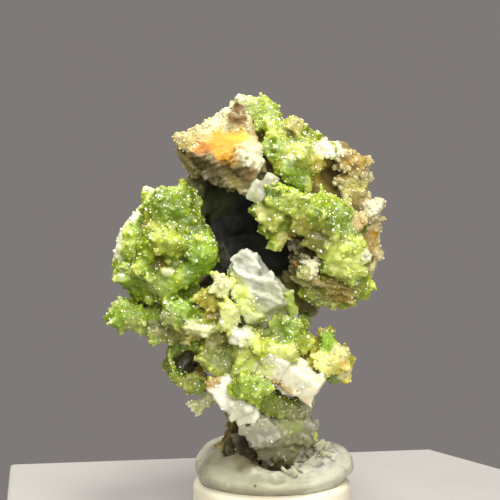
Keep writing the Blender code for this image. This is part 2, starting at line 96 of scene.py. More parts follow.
def roughen(piece, size, amount, metric=None):
    # pushes the skin in and out by clouds, or by cells of that metric, their size and height in millimetres
    texture = bpy.data.textures.new(piece.name + "Pattern", "VORONOI" if metric else "CLOUDS")
    texture.noise_scale = size * mm
    if metric:
        texture.distance_metric = metric
    useModifier(piece, "DISPLACE", texture=texture, texture_coords="LOCAL", strength=amount * mm)


def copyNode(node, name):
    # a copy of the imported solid, with the doubled corners of its loose triangles merged
    piece = bpy.data.objects.new(name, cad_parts[node].data.copy())
    bpy.context.scene.collection.objects.link(piece)
    pick(piece)
    editing(True)
    bpy.ops.mesh.select_all(action="SELECT")
    bpy.ops.mesh.remove_doubles(threshold=sameCorner * mm)
    editing(False)
    piece.data.materials.clear()
    return piece


# the camera, which also says where a pixel of the photograph falls on a piece

view = {
    "distance": 350, "tilt": 8.0, "aimX": -3.3, "aimZ": 41.1, "frameWidth": 75, "sensor": 36, "pixels": 500,
}


def makeCamera(values):
    tilt = math.radians(values["tilt"])
    distance = values["distance"] * mm
    height = values["aimZ"] * mm + distance * math.sin(tilt)
    bpy.ops.object.camera_add(
        location=(values["aimX"] * mm, -distance * math.cos(tilt), height),
        rotation=(math.pi / 2 - tilt, 0, 0))
    camera = bpy.context.object
    camera.data.sensor_width = values["sensor"]
    camera.data.lens = values["sensor"] * values["distance"] / values["frameWidth"]
    bpy.context.scene.camera = camera
    bpy.context.view_layer.update()
    return camera


camera = makeCamera(view)


def spotOn(piece, px, py):
    # where the line of sight through a pixel meets the piece, or passes nearest to it, and the way out
    half = view["pixels"] / 2
    step = view["frameWidth"] / view["distance"] / view["pixels"]
    sight = (camera.matrix_world.to_3x3() @ Vector(((px - half) * step, (half - py) * step, -1))).normalized()
    start = camera.location
    hit, place, normal, face = piece.ray_cast(start, sight)
    if not hit:
        middle = sum((Vector(corner) for corner in piece.bound_box), Vector()) / 8
        hit, place, normal, face = piece.closest_point_on_mesh(start + sight * (middle - start).dot(sight))
    return place, (normal - sight).normalized()


def press(piece, marks):
    # raises the skin round each mark, or sinks it: px, py, radius and height in millimetres
    bpy.context.view_layer.update()
    spots = [(*spotOn(piece, px, py), radius * mm, height * mm) for px, py, radius, height in marks]
    for corner in piece.data.vertices:
        here = corner.co.copy()
        for place, out, radius, height in spots:
            away = (here - place).length / radius
            if away < 1:
                corner.co += out * height * (1 - away * away) ** 2


def setBlocks(piece, blocks, seed):
    # angular lumps set on the skin: kind, px, py, their width, depth and height in millimetres, their turn
    # in degrees, about the line of sight or about all three axes, and, where given, how far out they stand
    bpy.context.view_layer.update()
    dice = random.Random(seed)
    made = []
    for kind, px, py, size, turn, *lift in blocks:
        place, out = spotOn(piece, px, py)
        place = place + out * sum(lift) * mm
        if kind == "box":
            bpy.ops.mesh.primitive_cube_add(size=1)
        else:
            bpy.ops.mesh.primitive_cylinder_add(vertices=flakeSides, radius=0.5, depth=1)
        block = bpy.context.object
        for corner in block.data.vertices:
            corner.co = [c * long * mm * dice.uniform(*spread["lump"]) for c, long in zip(corner.co, size)]
        block.location = place
        turns = turn if isinstance(turn, tuple) else (0, turn, 0)
        block.rotation_euler = [math.radians(angle) for angle in turns]
        made.append(block)
    if made:
        for block in made:
            settle(block)
        pick(piece, *made)
        bpy.ops.object.join()


ledges = {"wanderSize": 0.4, "edge": 4}  # how fine their wander is, and how sharply the ledges end


def terrace(piece, cuts):
    # cuts the skin into ledges: px, py, radius, direction, step, depth and how far the ledges wander
    bpy.context.view_layer.update()
    corners = piece.data.vertices
    spots = [
        (spotOn(piece, px, py)[0], radius * mm, Vector(along).normalized(), step * mm, depth * mm, wander)
        for px, py, radius, along, step, depth, wander in cuts]
    outs = [corner.normal.copy() for corner in corners]
    for corner, out in zip(corners, outs):
        here = corner.co.copy()
        for place, radius, along, step, depth, wander in spots:
            share = 1 - (here - place).length / radius
            if share > 0:
                level = here.dot(along) / step + wander * noise.noise(here / mm * ledges["wanderSize"])
                corner.co += out * depth * (0.5 - level % 1) * min(1, share * ledges["edge"])


# the same default strength serves the patches of painted shade
usualStrength = 0.9  # of a stain that gives none


def placePatches(piece, stains):
    # each stain or patch of painted shade is px, py, radius, web colour and, where given, strength; a pixel
    # becomes a place on the piece
    bpy.context.view_layer.update()
    return [
        (spotOn(piece, px, py)[0], radius, code, sum(strength) or usualStrength)
        for px, py, radius, code, *strength in stains]


class Signal:
    # a node's output that adds Math nodes when it is used in an expression
    def __init__(self, graph, socket):
        self.graph = graph
        self.socket = socket

    def maths(self, operation, first, second):
        return self.graph.node("ShaderNodeMath", {"operation": operation}, {0: first, 1: second})

    def __add__(self, other):
        return self.maths("ADD", self, other)

    def __radd__(self, other):
        return self.maths("ADD", other, self)

    def __sub__(self, other):
        return self.maths("SUBTRACT", self, other)

    def __rsub__(self, other):
        return self.maths("SUBTRACT", other, self)

    def __mul__(self, other):
        return self.maths("MULTIPLY", self, other)

    def __rmul__(self, other):
        return self.maths("MULTIPLY", other, self)

    def __truediv__(self, other):
        return self.maths("DIVIDE", self, other)

    def __pow__(self, other):
        return self.maths("POWER", self, other)

    def output(self, name):
        # another output of the same node
        return Signal(self.graph, self.socket.node.outputs[name])


class Graph:
    # a node tree, shader or geometry, and the one way that nodes are added to it
    def __init__(self, tree):
        self.tree = tree

    def node(self, kind, settings=None, sockets=None, output=0):
        made = self.tree.nodes.new(kind)
        for key, value in (settings or {}).items():
            setattr(made, key, value)
        for key, value in (sockets or {}).items():
            for each in value if isinstance(value, list) else [value]:
                if isinstance(each, Signal):
                    self.tree.links.new(each.socket, made.inputs[key])
                else:
                    made.inputs[key].default_value = each
        if not made.outputs:
            return made
        return Signal(self, made.outputs[output])


def shade(code):
    # a colour from its web code, in Blender's linear values
    parts = [int(code[i:i + 2], 16) / 255 for i in (0, 2, 4)]
    return tuple(c / 12.92 if c < 0.04045 else ((c + 0.055) / 1.055) ** 2.4 for c in parts) + (1,)


glowRadius = (1.0, 1.0, 0.8)  # how far red, green and blue light spreads, as shares of a stone's glow depth
patchRim = (1.1, 0.65)  # a patch of colour begins and is full at these shares of its radius
clearStep = 0.1  # how far a signal passes a level to be clearly above it
crystalRoughness = 0.15


class Paint(Graph):
    # a material on Object coordinates; its colours are signals or web codes
    def __init__(self, name, **constants):
        self.material = bpy.data.materials.new(name)
        self.material.use_nodes = True
        super().__init__(self.material.node_tree)
        self.shader = self.tree.nodes["Principled BSDF"]
        self.place = self.node("ShaderNodeTexCoord").output("Object")
        for key, value in constants.items():
            self.shader.inputs[key.replace("_", " ")].default_value = value

    def glowInside(self, share, depth):
        # light that enters the stone and comes out beside: its share, and how far in millimetres
        self.shader.inputs["Subsurface Weight"].default_value = share
        self.shader.inputs["Subsurface Scale"].default_value = depth * mm
        self.shader.inputs["Subsurface Radius"].default_value = glowRadius

    def mix(self, first, second, factor):
        first, second = [shade(each) if isinstance(each, str) else each for each in (first, second)]
        return self.node(
            "ShaderNodeMix", {"data_type": "RGBA", "clamp_factor": True}, {0: factor, 6: first, 7: second}, 2)

    def grain(self, size, detail=3, roughness=0.55):
        # soft noise from 0 to 1, its lumps about that many millimetres across
        return self.node(
            "ShaderNodeTexNoise", None,
            {"Vector": self.place, "Scale": 1 / (size * mm), "Detail": detail, "Roughness": roughness})

    def between(self, signal, low, high):
        # 0 below low, 1 above high, smooth between; low may be the larger
        return self.node(
            "ShaderNodeMapRange", {"interpolation_type": "SMOOTHSTEP"},
            {"Value": signal, "From Min": low, "From Max": high, "To Min": 0, "To Max": 1})

    def above(self, signal, level):
        # 1 where the signal is clearly above that level
        return self.between(signal, level - clearStep, level + clearStep)

    def near(self, centre, radius, ragged):
        # 1 inside a ragged ball about the centre, its radius in millimetres, and 0 outside it
        away = self.node("ShaderNodeVectorMath", {"operation": "DISTANCE"}, {0: self.place, 1: centre}, 1)
        return self.between(away / mm + (ragged - 0.5) * radius, *(radius * share for share in patchRim))

    def patches(self, colour, patchList, ragged):
        # colour with each stain or patch of painted shade laid over it: place, radius, web colour, strength
        for place, radius, code, strength in patchList:
            colour = self.mix(colour, code, self.near(place, radius, ragged) * strength)
        return colour

    def attribute(self, name):
        return self.node("ShaderNodeAttribute", {"attribute_name": name}).output("Fac")

    def use(self, name, signal):
        self.tree.links.new(signal.socket, self.shader.inputs[name])

    def crystals(self, mask, colour, ior):
        # where mask is 1 the surface is a crystal set in the skin: clear and bright, with no glow inside
        clear = self.node(
            "ShaderNodeBsdfPrincipled", None,
            {"Base Color": colour, "Roughness": crystalRoughness, "IOR": ior})
        both = self.node(
            "ShaderNodeMixShader", None, {0: mask, 1: Signal(self, self.shader.outputs[0]), 2: clear})
        self.tree.links.new(both.socket, self.tree.nodes["Material Output"].inputs["Surface"])

    def finish(self, colour, roughness, height, strength, depth):
        # the last step: colour, roughness and a relief of that strength and depth in millimetres
        relief = self.node(
            "ShaderNodeBump", None, {"Height": height, "Strength": strength, "Distance": depth * mm})
        self.use("Base Color", colour)
        self.use("Roughness", roughness)
        self.use("Normal", relief)
        return self


def countTriangles(piece):
    return sum(len(face.vertices) - 2 for face in piece.data.polygons)


def finishPiece(piece, paint, node):
    piece.data.materials.clear()
    piece.data.materials.append(paint.material)
    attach(piece, "root")
    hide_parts(node)
    print(piece.name, countTriangles(piece), "triangles")


# crystal models that the druse is grown from: each stands on the origin, about 1 across

sunk = 0.5  # how much of a crystal is under the skin


def openFoot(piece):
    # takes off the end that is sunk in the skin
    for face in piece.data.polygons:
        face.select = face.normal.z < -levelFace
    editing(True)
    bpy.ops.mesh.select_mode(type="FACE")
    bpy.ops.mesh.delete(type="FACE")
    editing(False)


def makePrism(name, sides, width, height):
    deselectAll()
    bpy.ops.mesh.primitive_cylinder_add(
        vertices=sides, radius=width / 2, depth=height, location=(0, 0, height / 2 - sunk))
    piece = bpy.context.object
    piece.name = name
    settle(piece)
    openFoot(piece)
    return piece


def makeBarrel(name, width, height, bevel):
    # a six-sided barrel with a bevelled end
    piece = makePrism(name, 6, width, height)
    for face in piece.data.polygons:
        face.select = face.normal.z > levelFace
    editing(True)
    bpy.ops.mesh.inset(thickness=bevel * width, depth=0)
    bpy.ops.transform.translate(value=(0, 0, bevel * width * 0.8))  # a little flatter than 45 degrees
    editing(False)
    return piece


def makeGrain(name, width, height, sides, tilt):
    # a plain prism with a slanting end, for the finest druse
    piece = makePrism(name, sides, width, height)
    for corner in piece.data.vertices:
        if corner.co.z > 0:
            corner.co.z += tilt * corner.co.x
    return piece


def makeCrag(name, seed, stretch):
    # an angular lump: a box with its corners pushed about, to be welded into a skin
    dice = random.Random(seed)
    bpy.ops.mesh.primitive_cube_add(size=1)
    piece = bpy.context.object
    piece.name = name
    for corner in piece.data.vertices:
        corner.co = [place * long * dice.uniform(*spread["crag"]) for place, long in zip(corner.co, stretch)]
    return piece


def makeBlock(name, stretch, seed):
    # a broken, blocky grain
    dice = random.Random(seed)
    bpy.ops.mesh.primitive_ico_sphere_add(subdivisions=1, radius=0.5)
    piece = bpy.context.object
    piece.name = name
    for corner in piece.data.vertices:
        corner.co *= dice.uniform(*spread["block"])
        corner.co.z *= stretch
    return piece


kinds = {}
for kind, makeModel, shapes in (
        ("crag", makeCrag, [(4, (1, 1, 0.9)), (5, (0.8, 1, 1.2)), (6, (1.3, 1, 0.6))]),
        ("flake", makeCrag, [(7, (1.2, 0.4, 1.1)), (8, (0.9, 0.35, 1.4)), (9, (1.4, 0.45, 0.9))]),
        ("grain", makeGrain, [(1, 0.66, 6, 0.25), (1.1, 0.6, 5, -0.4), (0.8, 0.8, 6, 0.1)]),
        ("barrel", makeBarrel, [(1.1, 0.55, 0.12), (0.9, 0.95, 0.2), (1, 0.7, 0.16)]),
        ("block", makeBlock, [(1, 1), (1.3, 2), (0.8, 3)])):
    # the three models of a kind go into a collection that is kept out of the scene
    kinds[kind] = bpy.data.collections.new(kind)
    for letter, shape in zip("ABC", shapes):
        model = makeModel(kind + letter, *shape)
        for home in list(model.users_collection):
            home.objects.unlink(model)
        kinds[kind].objects.link(model)


growing = {
    "edgeWander": 0.25, "edgeSize": 1.3,  # how raggedly a marked place ends
    "length": (0.75, 1.3), "breadth": (0.8, 1.1),  # how much crystals of one size differ
    "seedStep": 20,  # between the seeds of one growth and the next
}
cragSeed = 500  # crags take their seeds from this far on


def coverSkin(piece, name, growth):
    # how thickly each corner is grown over: the same all over, but for the marked places, and, where a
    # direction is given, only on the side turned towards it, the lit side, for painted highlights
    cover = piece.data.attributes.new(name, "FLOAT", "POINT")
    spots = [
        (spotOn(piece, px, py)[0], radius * mm, amount) for px, py, radius, amount in growth.get("at", [])]
    topOnly = growth.get("topOnly")
    values = []
    for corner in piece.data.vertices:
        value = growth.get("all", 1.0)
        if topOnly:
            value *= max(0, corner.normal.dot(topOnly))
        for place, radius, amount in spots:
            wander = growing["edgeWander"] * noise.noise(corner.co / mm * growing["edgeSize"])
            away = (corner.co - place).length / radius + wander
            if away < 1:
                value = amount
        values.append(value)
    cover.data.foreach_set("value", values)


def geometryGroup(name):
    group = bpy.data.node_groups.new(name, "GeometryNodeTree")
    group.interface.new_socket("Geometry", in_out="INPUT", socket_type="NodeSocketGeometry")
    group.interface.new_socket("Geometry", in_out="OUTPUT", socket_type="NodeSocketGeometry")
    return Graph(group)


def leaveOut(growths, places):
    # the same growths with nothing at those places: px, py and radius
    return [{**growth, "at": growth.get("at", []) + [(*place, 0) for place in places]} for growth in growths]


def growCrystals(piece, growths, seed):
    graph = geometryGroup(piece.name + "Growth")
    skin = graph.node("NodeGroupInput")
    grown = [skin]
    for turn, growth in enumerate(growths):
        roll = seed + growing["seedStep"] * turn
        coverName = "cover%d" % turn
        coverSkin(piece, coverName, growth)

        def chance(step, low, high):
            return graph.node(
                "FunctionNodeRandomValue", {"data_type": "FLOAT"}, {2: low, 3: high, "Seed": roll + step}, 1)

        cover = graph.node("GeometryNodeInputNamedAttribute", {"data_type": "FLOAT"}, {"Name": coverName})
        gap = growth["spacing"] * mm
        points = graph.node(
            "GeometryNodeDistributePointsOnFaces", {"distribute_method": "POISSON"},
            {"Mesh": skin, "Distance Min": gap, "Density Max": 1 / gap ** 2, "Density Factor": cover,
             "Seed": roll})
        lean = growth["lean"]
        tip = graph.node(
            "FunctionNodeRandomValue", {"data_type": "FLOAT_VECTOR"},
            {0: (-lean, -lean, -lean), 1: (lean, lean, lean), "Seed": roll + 1})
        stem = (0, 0, 1) if growth.get("upright") else points.output("Normal")
        along = graph.node("ShaderNodeVectorMath", {"operation": "ADD"}, {0: stem, 1: tip})
        stood = graph.node("FunctionNodeAlignRotationToVector", {"axis": "Z"}, {"Vector": along})
        spin = graph.node(
            "FunctionNodeAxisAngleToRotation", None, {"Axis": (0, 0, 1), "Angle": chance(2, 0, math.tau)})
        turned = graph.node(
            "FunctionNodeRotateRotation", {"rotation_space": "LOCAL"}, {"Rotation": stood, "Rotate By": spin})
        low, high = growth["size"]
        size = (low + (high - low) * chance(3, 0, 1) ** growth.get("rare", 2.0)) * mm
        length = size * chance(4, *growing["length"])
        breadth = size * chance(5, *growing["breadth"])
        scale = graph.node("ShaderNodeCombineXYZ", None, {0: size, 1: breadth, 2: length})
        models = graph.node(
            "GeometryNodeCollectionInfo", None,
            {"Collection": kinds[growth["kind"]], "Separate Children": True, "Reset Children": True})
        pickOne = graph.node(
            "FunctionNodeRandomValue", {"data_type": "INT"}, {4: 0, 5: 2, "Seed": roll + 6}, 2)
        placed = graph.node(
            "GeometryNodeInstanceOnPoints", None,
            {"Points": points, "Instance": models, "Pick Instance": True, "Instance Index": pickOne,
             "Rotation": turned, "Scale": scale})
        tinted = graph.node(
            "GeometryNodeStoreNamedAttribute", {"data_type": "FLOAT", "domain": "INSTANCE"},
            {"Geometry": placed, "Name": "tint", "Value": chance(7, *growth["tint"])})
        grown.append(graph.node("GeometryNodeRealizeInstances", None, {"Geometry": tinted}))
    graph.node(
        "NodeGroupOutput", None, {0: graph.node("GeometryNodeJoinGeometry", None, {"Geometry": grown[::-1]})})
    useModifier(piece, "NODES", node_group=graph.tree)


def markRelief(piece, steps, depth):
    # stores how far each corner stands out of the smoothed form: 1 at that depth in millimetres
    graph = geometryGroup(piece.name + "Relief")
    skin = graph.node("NodeGroupInput")
    here = graph.node("GeometryNodeInputPosition")
    smooth = graph.node(
        "GeometryNodeBlurAttribute", {"data_type": "FLOAT_VECTOR"}, {"Value": here, "Iterations": steps})
    away = graph.node("ShaderNodeVectorMath", {"operation": "SUBTRACT"}, {0: here, 1: smooth})
    normal = graph.node("GeometryNodeInputNormal")
    out = graph.node("ShaderNodeVectorMath", {"operation": "DOT_PRODUCT"}, {0: away, 1: normal}, 1)
    marked = graph.node(
        "GeometryNodeStoreNamedAttribute", {"data_type": "FLOAT", "domain": "POINT"},
        {"Geometry": skin, "Name": "relief", "Value": out / (depth * mm)})
    graph.node("NodeGroupOutput", None, {0: marked})
    useModifier(piece, "NODES", node_group=graph.tree)


# the way that every stone is made, whether crust, rock or quartz

stone = {
    "swell": 0, "blocks": [], "press": [], "cuts": [], "waves": [], "knobs": [],
    "stains": [], "shadows": [], "bare": [], "plain": [], "reliefSteps": 40, "reliefDepth": 0.5,
}


def growStone(name, node, makePaint, changes):
    # the imported solid gets lumps, crags and ledges, then a finer relief, and last its stain and painted
    # shade patches and its crystals
    values = {**stone, **changes}
    piece = copyNode(node, name)
    if values["swell"]:
        weldSkin(piece, values["coarse"])
        swell(piece, values["swell"])
    setBlocks(piece, values["blocks"], values["seed"])
    weldSkin(piece, values["coarse"])
    press(piece, values["press"])
    roughen(piece, *values["lumps"])
    growCrystals(piece, leaveOut(values["crags"], values["plain"]), values["seed"] + cragSeed)
    weldSkin(piece, values["coarse"])
    terrace(piece, values["cuts"])
    if "soften" in values:  # quartz is worn smooth
        weldSkin(piece, values["coarse"])
        useModifier(piece, "SMOOTH", iterations=values["soften"])
    for size, height in values["waves"]:
        roughen(piece, size, height)
    for size, height, metric in values["knobs"]:
        roughen(piece, size, -height, metric)
        weldSkin(piece, values["voxel"])
    markRelief(piece, values["reliefSteps"], values["reliefDepth"])
    for layer in ("stains", "shadows"):
        values[layer] = placePatches(piece, values[layer])
    growCrystals(piece, leaveOut(values["growths"], values["bare"]), values["seed"])
    finishPiece(piece, makePaint(name + "Paint", values), node)


def stonePaint(name, values):
    # tint is one number for each crystal, relief is high on the ridges and low in the creases
    paint = Paint(name, IOR=values["ior"])
    if "glow" in values:
        paint.glowInside(values["glow"], values["glowDepth"])
    return paint, paint.attribute("tint"), paint.attribute("relief")


# pyromorphite: translucent yellow-green crusts

druse = {
    # the colour laid in the creases is painted shade; pale is also a painted highlight on the ridges and on
    # the crystals set on the lit side, and glint is painted glints
    "deep": "587006", "mid": "88A010", "bright": "B0BC24", "pale": "EEEEB8", "valley": "545010",
    "glint": "FFFFEC", "paleShare": 0.25, "valleyShare": 0.75, "glow": 0.75, "glowDepth": 1.2, "ior": 1.6,
    "midRange": (0.35, 0.55), "brightRange": (0.4, 0.75), "creaseRange": (0, -0.8), "ridgeRange": (0.3, 1.1),
    "broadSize": 5, "fineSize": 1.4, "stainEdge": 1.2, "pitSize": 0.3, "pitStrength": 0.5, "pitDepth": 0.08,
    "voxel": 0.17, "coarse": 0.25, "swell": -0.35, "lumps": (3.4, 0.6),
    "knobs": [(1.5, 0.24, "DISTANCE_SQUARED"), (0.65, 0.22, "MANHATTAN")],
    "reliefSteps": 60, "reliefDepth": 0.6,
    "crags": [
        {"kind": "crag", "spacing": 1.6, "size": (0.5, 1.6), "lean": 0.8, "rare": 1.5, "tint": (0, 0)}],
    "growths": [
        {"kind": "grain", "spacing": 0.55, "size": (0.3, 0.6), "lean": 0.6, "tint": (0.2, 0.8), "all": 0.6},
        {"kind": "barrel", "spacing": 1.5, "size": (0.4, 0.9), "lean": 0.8, "tint": (0.2, 0.8)},
        # pale grains, white blocks and white barrels grown only on the side facing the lights: painted
        # highlights and glints
        {"kind": "grain", "spacing": 0.5, "size": (0.16, 0.38), "lean": 0.9, "tint": (1.2, 1.3),
         "topOnly": Vector((0.1, -0.5, 0.8))},
        {"kind": "block", "spacing": 0.65, "size": (0.15, 0.4), "lean": 0.8, "tint": (2.0, 2.0),
         "topOnly": Vector((0.1, -0.4, 0.9))},
        {"kind": "barrel", "spacing": 1.7, "size": (0.25, 0.6), "lean": 0.8, "tint": (2.0, 2.0),
         "topOnly": Vector((0.1, -0.4, 0.9))}],
}


def drusePaint(name, values):
    paint, tint, relief = stonePaint(name, values)
    broad = paint.grain(values["broadSize"], 2)
    fine = paint.grain(values["fineSize"], 3)
    own = tint - 0.5
    wander = fine - 0.5
    middle = paint.between(broad + own * 0.12, *values["midRange"])
    # the bright colour follows the fine noise and each crystal's tint, and partly the relief, which makes it a
    # painted highlight on the raised parts
    light = paint.between(fine + relief * 0.25 + own * 0.15, *values["brightRange"])
    colour = paint.mix(paint.mix(values["deep"], values["mid"], middle), values["bright"], light)
    colour = paint.patches(colour, values["stains"], paint.grain(values["stainEdge"], 4, 0.6))
    # painted shade in the creases and a painted highlight on the ridges, both from the relief
    creases = paint.between(relief + wander * 0.6, *values["creaseRange"])
    ridges = paint.between(relief + wander * 1.5, *values["ridgeRange"])
    crystals = paint.above(tint, 0.2)
    highlightCrystals = paint.above(tint, 1.0)
    colour = paint.mix(colour, values["valley"], creases * values["valleyShare"])
    colour = paint.mix(colour, values["pale"], ridges * values["paleShare"])
    # the crystals on the lit side are made pale and white: painted highlights and glints
    colour = paint.mix(colour, values["pale"], crystals * 0.05 + highlightCrystals * 0.7)
    colour = paint.mix(colour, values["glint"], paint.above(tint, 1.5))
    paint.crystals(paint.between(tint, 0.1, 0.2) * 0.4 + highlightCrystals * 0.6, colour, values["ior"])
    pits = paint.grain(values["pitSize"], 3)
    return paint.finish(colour, 0.4 + 0.2 * fine, pits, values["pitStrength"], values["pitDepth"])


def growDruse(name, node, changes):
    growStone(name, node, drusePaint, {**druse, **changes})


leftLobe = {
    "seed": 11, "plain": [(143, 188, 1.8), (183, 183, 1.8)],
    "press": [
        (147, 225, 1.4, -1.1), (136, 214, 3, 1.2), (160, 262, 2.2, -1.4), (183, 258, 1.1, -1.2),
        (178, 222, 2.4, -0.8), (205, 250, 4, 1.2), (166, 206, 4, 0.6), (168, 243, 3.4, 1),
        (130, 243, 3.4, 0.6), (168, 271, 2, 0.8), (125, 279, 2.6, 1.6), (128, 226, 2.4, 0.8)],
    "stains": [
        # the pale rim on the left edge is partly the crust's own pale colour and partly painted rim light; the
        # near-black at 183, 258 is painted shade in a pit, and the dark green at 205, 280 painted shade under
        # the bulge
        (114, 244, 2.6, "EEEEC4", 0.95), (121, 230, 2.4, "EEEEC4", 0.95), (131, 215, 2.2, "E8EAB4"),
        (141, 200, 1.6, "E4E8AC", 0.85), (128, 245, 2.6, "B8CC48", 0.5), (150, 187, 1.4, "E6EAB8", 0.7),
        (172, 190, 1.8, "BACE54", 0.5), (146, 225, 0.9, "6E5610", 0.95), (153, 216, 2.4, "A8A428", 0.6),
        (163, 262, 1.5, "8C7228", 0.7), (168, 270, 1.2, "D8D8A0"), (157, 284, 2.6, "9CAE52", 0.6),
        (183, 258, 0.8, "28330E"), (205, 265, 3.6, "74981E", 0.7), (208, 242, 3, "92B034", 0.6),
        (195, 292, 1.6, "A08A28", 0.7), (168, 240, 3.8, "A8B430", 0.6), (119, 275, 0.9, "EFEFD4"),
        (166, 204, 3.6, "647E0C", 0.8), (130, 278, 3, "7A8E20", 0.6), (205, 280, 2.4, "46600C", 0.8)],
}
growDruse("leftLobe", "pyromorphite_left_lobe", leftLobe)

lowLeftLobe = {
    "seed": 12, "deep": "607A0C", "mid": "8CA41A", "bright": "AEBC2C",
    "blocks": [
        ("flake", 199, 329, (4.8, 3.8, 1.6), (14, 6, 0), 0.6), ("box", 205, 374, (3.4, 3, 3.2), 20),
        ("box", 204, 352, (2.6, 2.4, 4.6), 10), ("box", 176, 316, (4, 3, 3.6), 15),
        ("box", 163, 334, (4, 3, 3), -20), ("flake", 197, 357, (2.6, 1.6, 0.7), 40),
        ("flake", 188, 365, (1.8, 1.4, 0.6), -30)],
    "press": [
        (143, 303, 2.8, -2), (178, 308, 3, 0.8), (160, 350, 3, -1.3), (163, 368, 3, -1.2),
        (186, 361, 2.6, -2)],
    "cuts": [(188, 345, 5, (0.2, 0, 1), 1, 0.8, 1.2)], "bare": [(186, 361, 1.4), (190, 345, 3.6)],
    "stains": [
        # the near-black at 142, 303 and in the crater at 188, 361 and 199, 358 is painted shade in the hollows
        (142, 303, 1.9, "35430E"), (117, 312, 3, "7E9C18", 0.8), (114, 303, 1.2, "C8D26C", 0.6),
        (135, 330, 2.4, "A8B258", 0.7), (156, 327, 1.6, "C2BC84", 0.7), (178, 306, 2.4, "8AA832", 0.8),
        (165, 318, 1.8, "A0A462", 0.6), (199, 328, 2.7, "C6C698", 0.95), (190, 346, 3.6, "A09A50"),
        (172, 338, 2.2, "86803A", 0.8), (188, 361, 2.6, "28220C", 1), (199, 358, 1.5, "4E4018"),
        (206, 375, 1.8, "B08A2C", 0.95), (201, 370, 1.4, "B8943C"), (172, 386, 2.2, "9A9C40", 0.7),
        (167, 366, 1.6, "808A30", 0.7)],
}
growDruse("lowLeftLobe", "pyromorphite_low_left_lobe", lowLeftLobe)

crown = {
    "seed": 13, "deep": "70801A", "mid": "98A42A", "bright": "B4BA3E",
    "blocks": [
        ("flake", 325, 149, (3.4, 3, 1.6), (10, 8, 0), 0.3),
        ("box", 294, 126, (2.4, 2.4, 2.2), (0, 30, 20), 0.3)],
    "press": [
        (299, 150, 3.2, 1), (270, 145, 2, -1.2), (262, 134, 1.2, -1), (318, 130, 2.6, -1.4),
        (323, 176, 3, -1.8), (272, 104, 3, 1.3), (255, 98, 2.4, 0.6)],
    "bare": [(322, 172, 3), (237, 113, 1.8)],
    "stains": [
        (235, 103, 2.6, "D0CC9C"), (224, 111, 2.6, "D0CC9C"), (248, 97, 1.8, "C4CC84", 0.8),
        (237, 112, 1.8, "6A4A12", 0.95), (262, 134, 0.8, "5A3A1C", 0.95), (266, 108, 3.4, "9CAE40", 0.7),
        (274, 112, 1.9, "8A9C34", 0.8), (272, 150, 2.2, "74921E", 0.7), (264, 172, 2, "6C8A1E", 0.6),
        (299, 150, 2.8, "B2BA58", 0.7), (294, 125, 1.9, "AA9C58"), (290, 160, 1.2, "C4D29A", 0.7),
        (290, 180, 2.6, "84A430", 0.7), (325, 149, 1.8, "DAD4BC", 1), (319, 163, 1.6, "B4A648"),
        (323, 178, 2.6, "A4902E", 0.95), (330, 171, 1, "6A5214")],
}
growDruse("crown", "pyromorphite_crown", crown)

rightLobe = {
    "seed": 14,
    "blocks": [
        ("box", 290, 204, (8, 3, 2.6), 24), ("box", 272, 218, (3.2, 3, 3.4), 38),
        ("box", 322, 222, (7, 2.6, 2.4), 36), ("box", 334, 264, (4, 3, 3.6), (8, 24, 10)),
        ("box", 353, 252, (4, 3, 4), -20), ("box", 353, 271, (5, 3, 3), (10, 14, 0)),
        ("box", 302, 226, (3.4, 2.4, 2.6), (0, 20, 10)), ("box", 323, 243, (4.6, 3, 3.8), 34),
        ("box", 266, 212, (4.2, 2.6, 2.8), 38, 0.2), ("box", 310, 208, (7.4, 2.6, 1.8), 36, 0.3)],
    "press": [(300, 250, 2.2, -1.2), (344, 226, 2.6, -0.8), (379, 288, 3, -2.8), (348, 300, 2.6, 0.8)],
    "cuts": [(335, 296, 4.6, (0.1, 0, 1), 1.2, 0.8, 1.2)],
    "stains": [
        (343, 226, 3.6, "667C1C", 0.8), (293, 207, 3, "949E2C", 0.6), (270, 222, 2, "BEC45C", 0.7),
        (258, 213, 1.6, "D0CE7C", 0.7), (300, 229, 2.4, "868020", 0.8), (318, 240, 2.8, "74701C", 0.85),
        # the dark brown at 296, 262 is painted shade in the recess under the ledge
        (284, 241, 1.6, "C8C470"), (291, 236, 0.6, "8C6814", 0.95), (296, 262, 2, "463A18"),
        (345, 255, 3.4, "C0C85C", 0.7), (356, 268, 2.6, "C0C862", 0.6), (345, 298, 1.8, "A07C24", 0.85),
        (335, 294, 3.4, "847020", 0.85), (315, 292, 2.4, "8A8638", 0.7), (360, 290, 2.2, "98963E", 0.7),
        (366, 205, 1.9, "B4A664"), (360, 198, 1.4, "B4AC5C", 0.8), (362, 224, 1.6, "A8884C"),
        (368, 214, 1.4, "B8AA74"), (367, 240, 1.9, "9C7A3C"), (375, 233, 0.6, "B8860C", 0.95),
        (370, 256, 1.6, "DCD6B0", 0.8), (320, 303, 2, "A8B068", 0.6)],
}
growDruse("rightLobe", "pyromorphite_right_lobe", rightLobe)

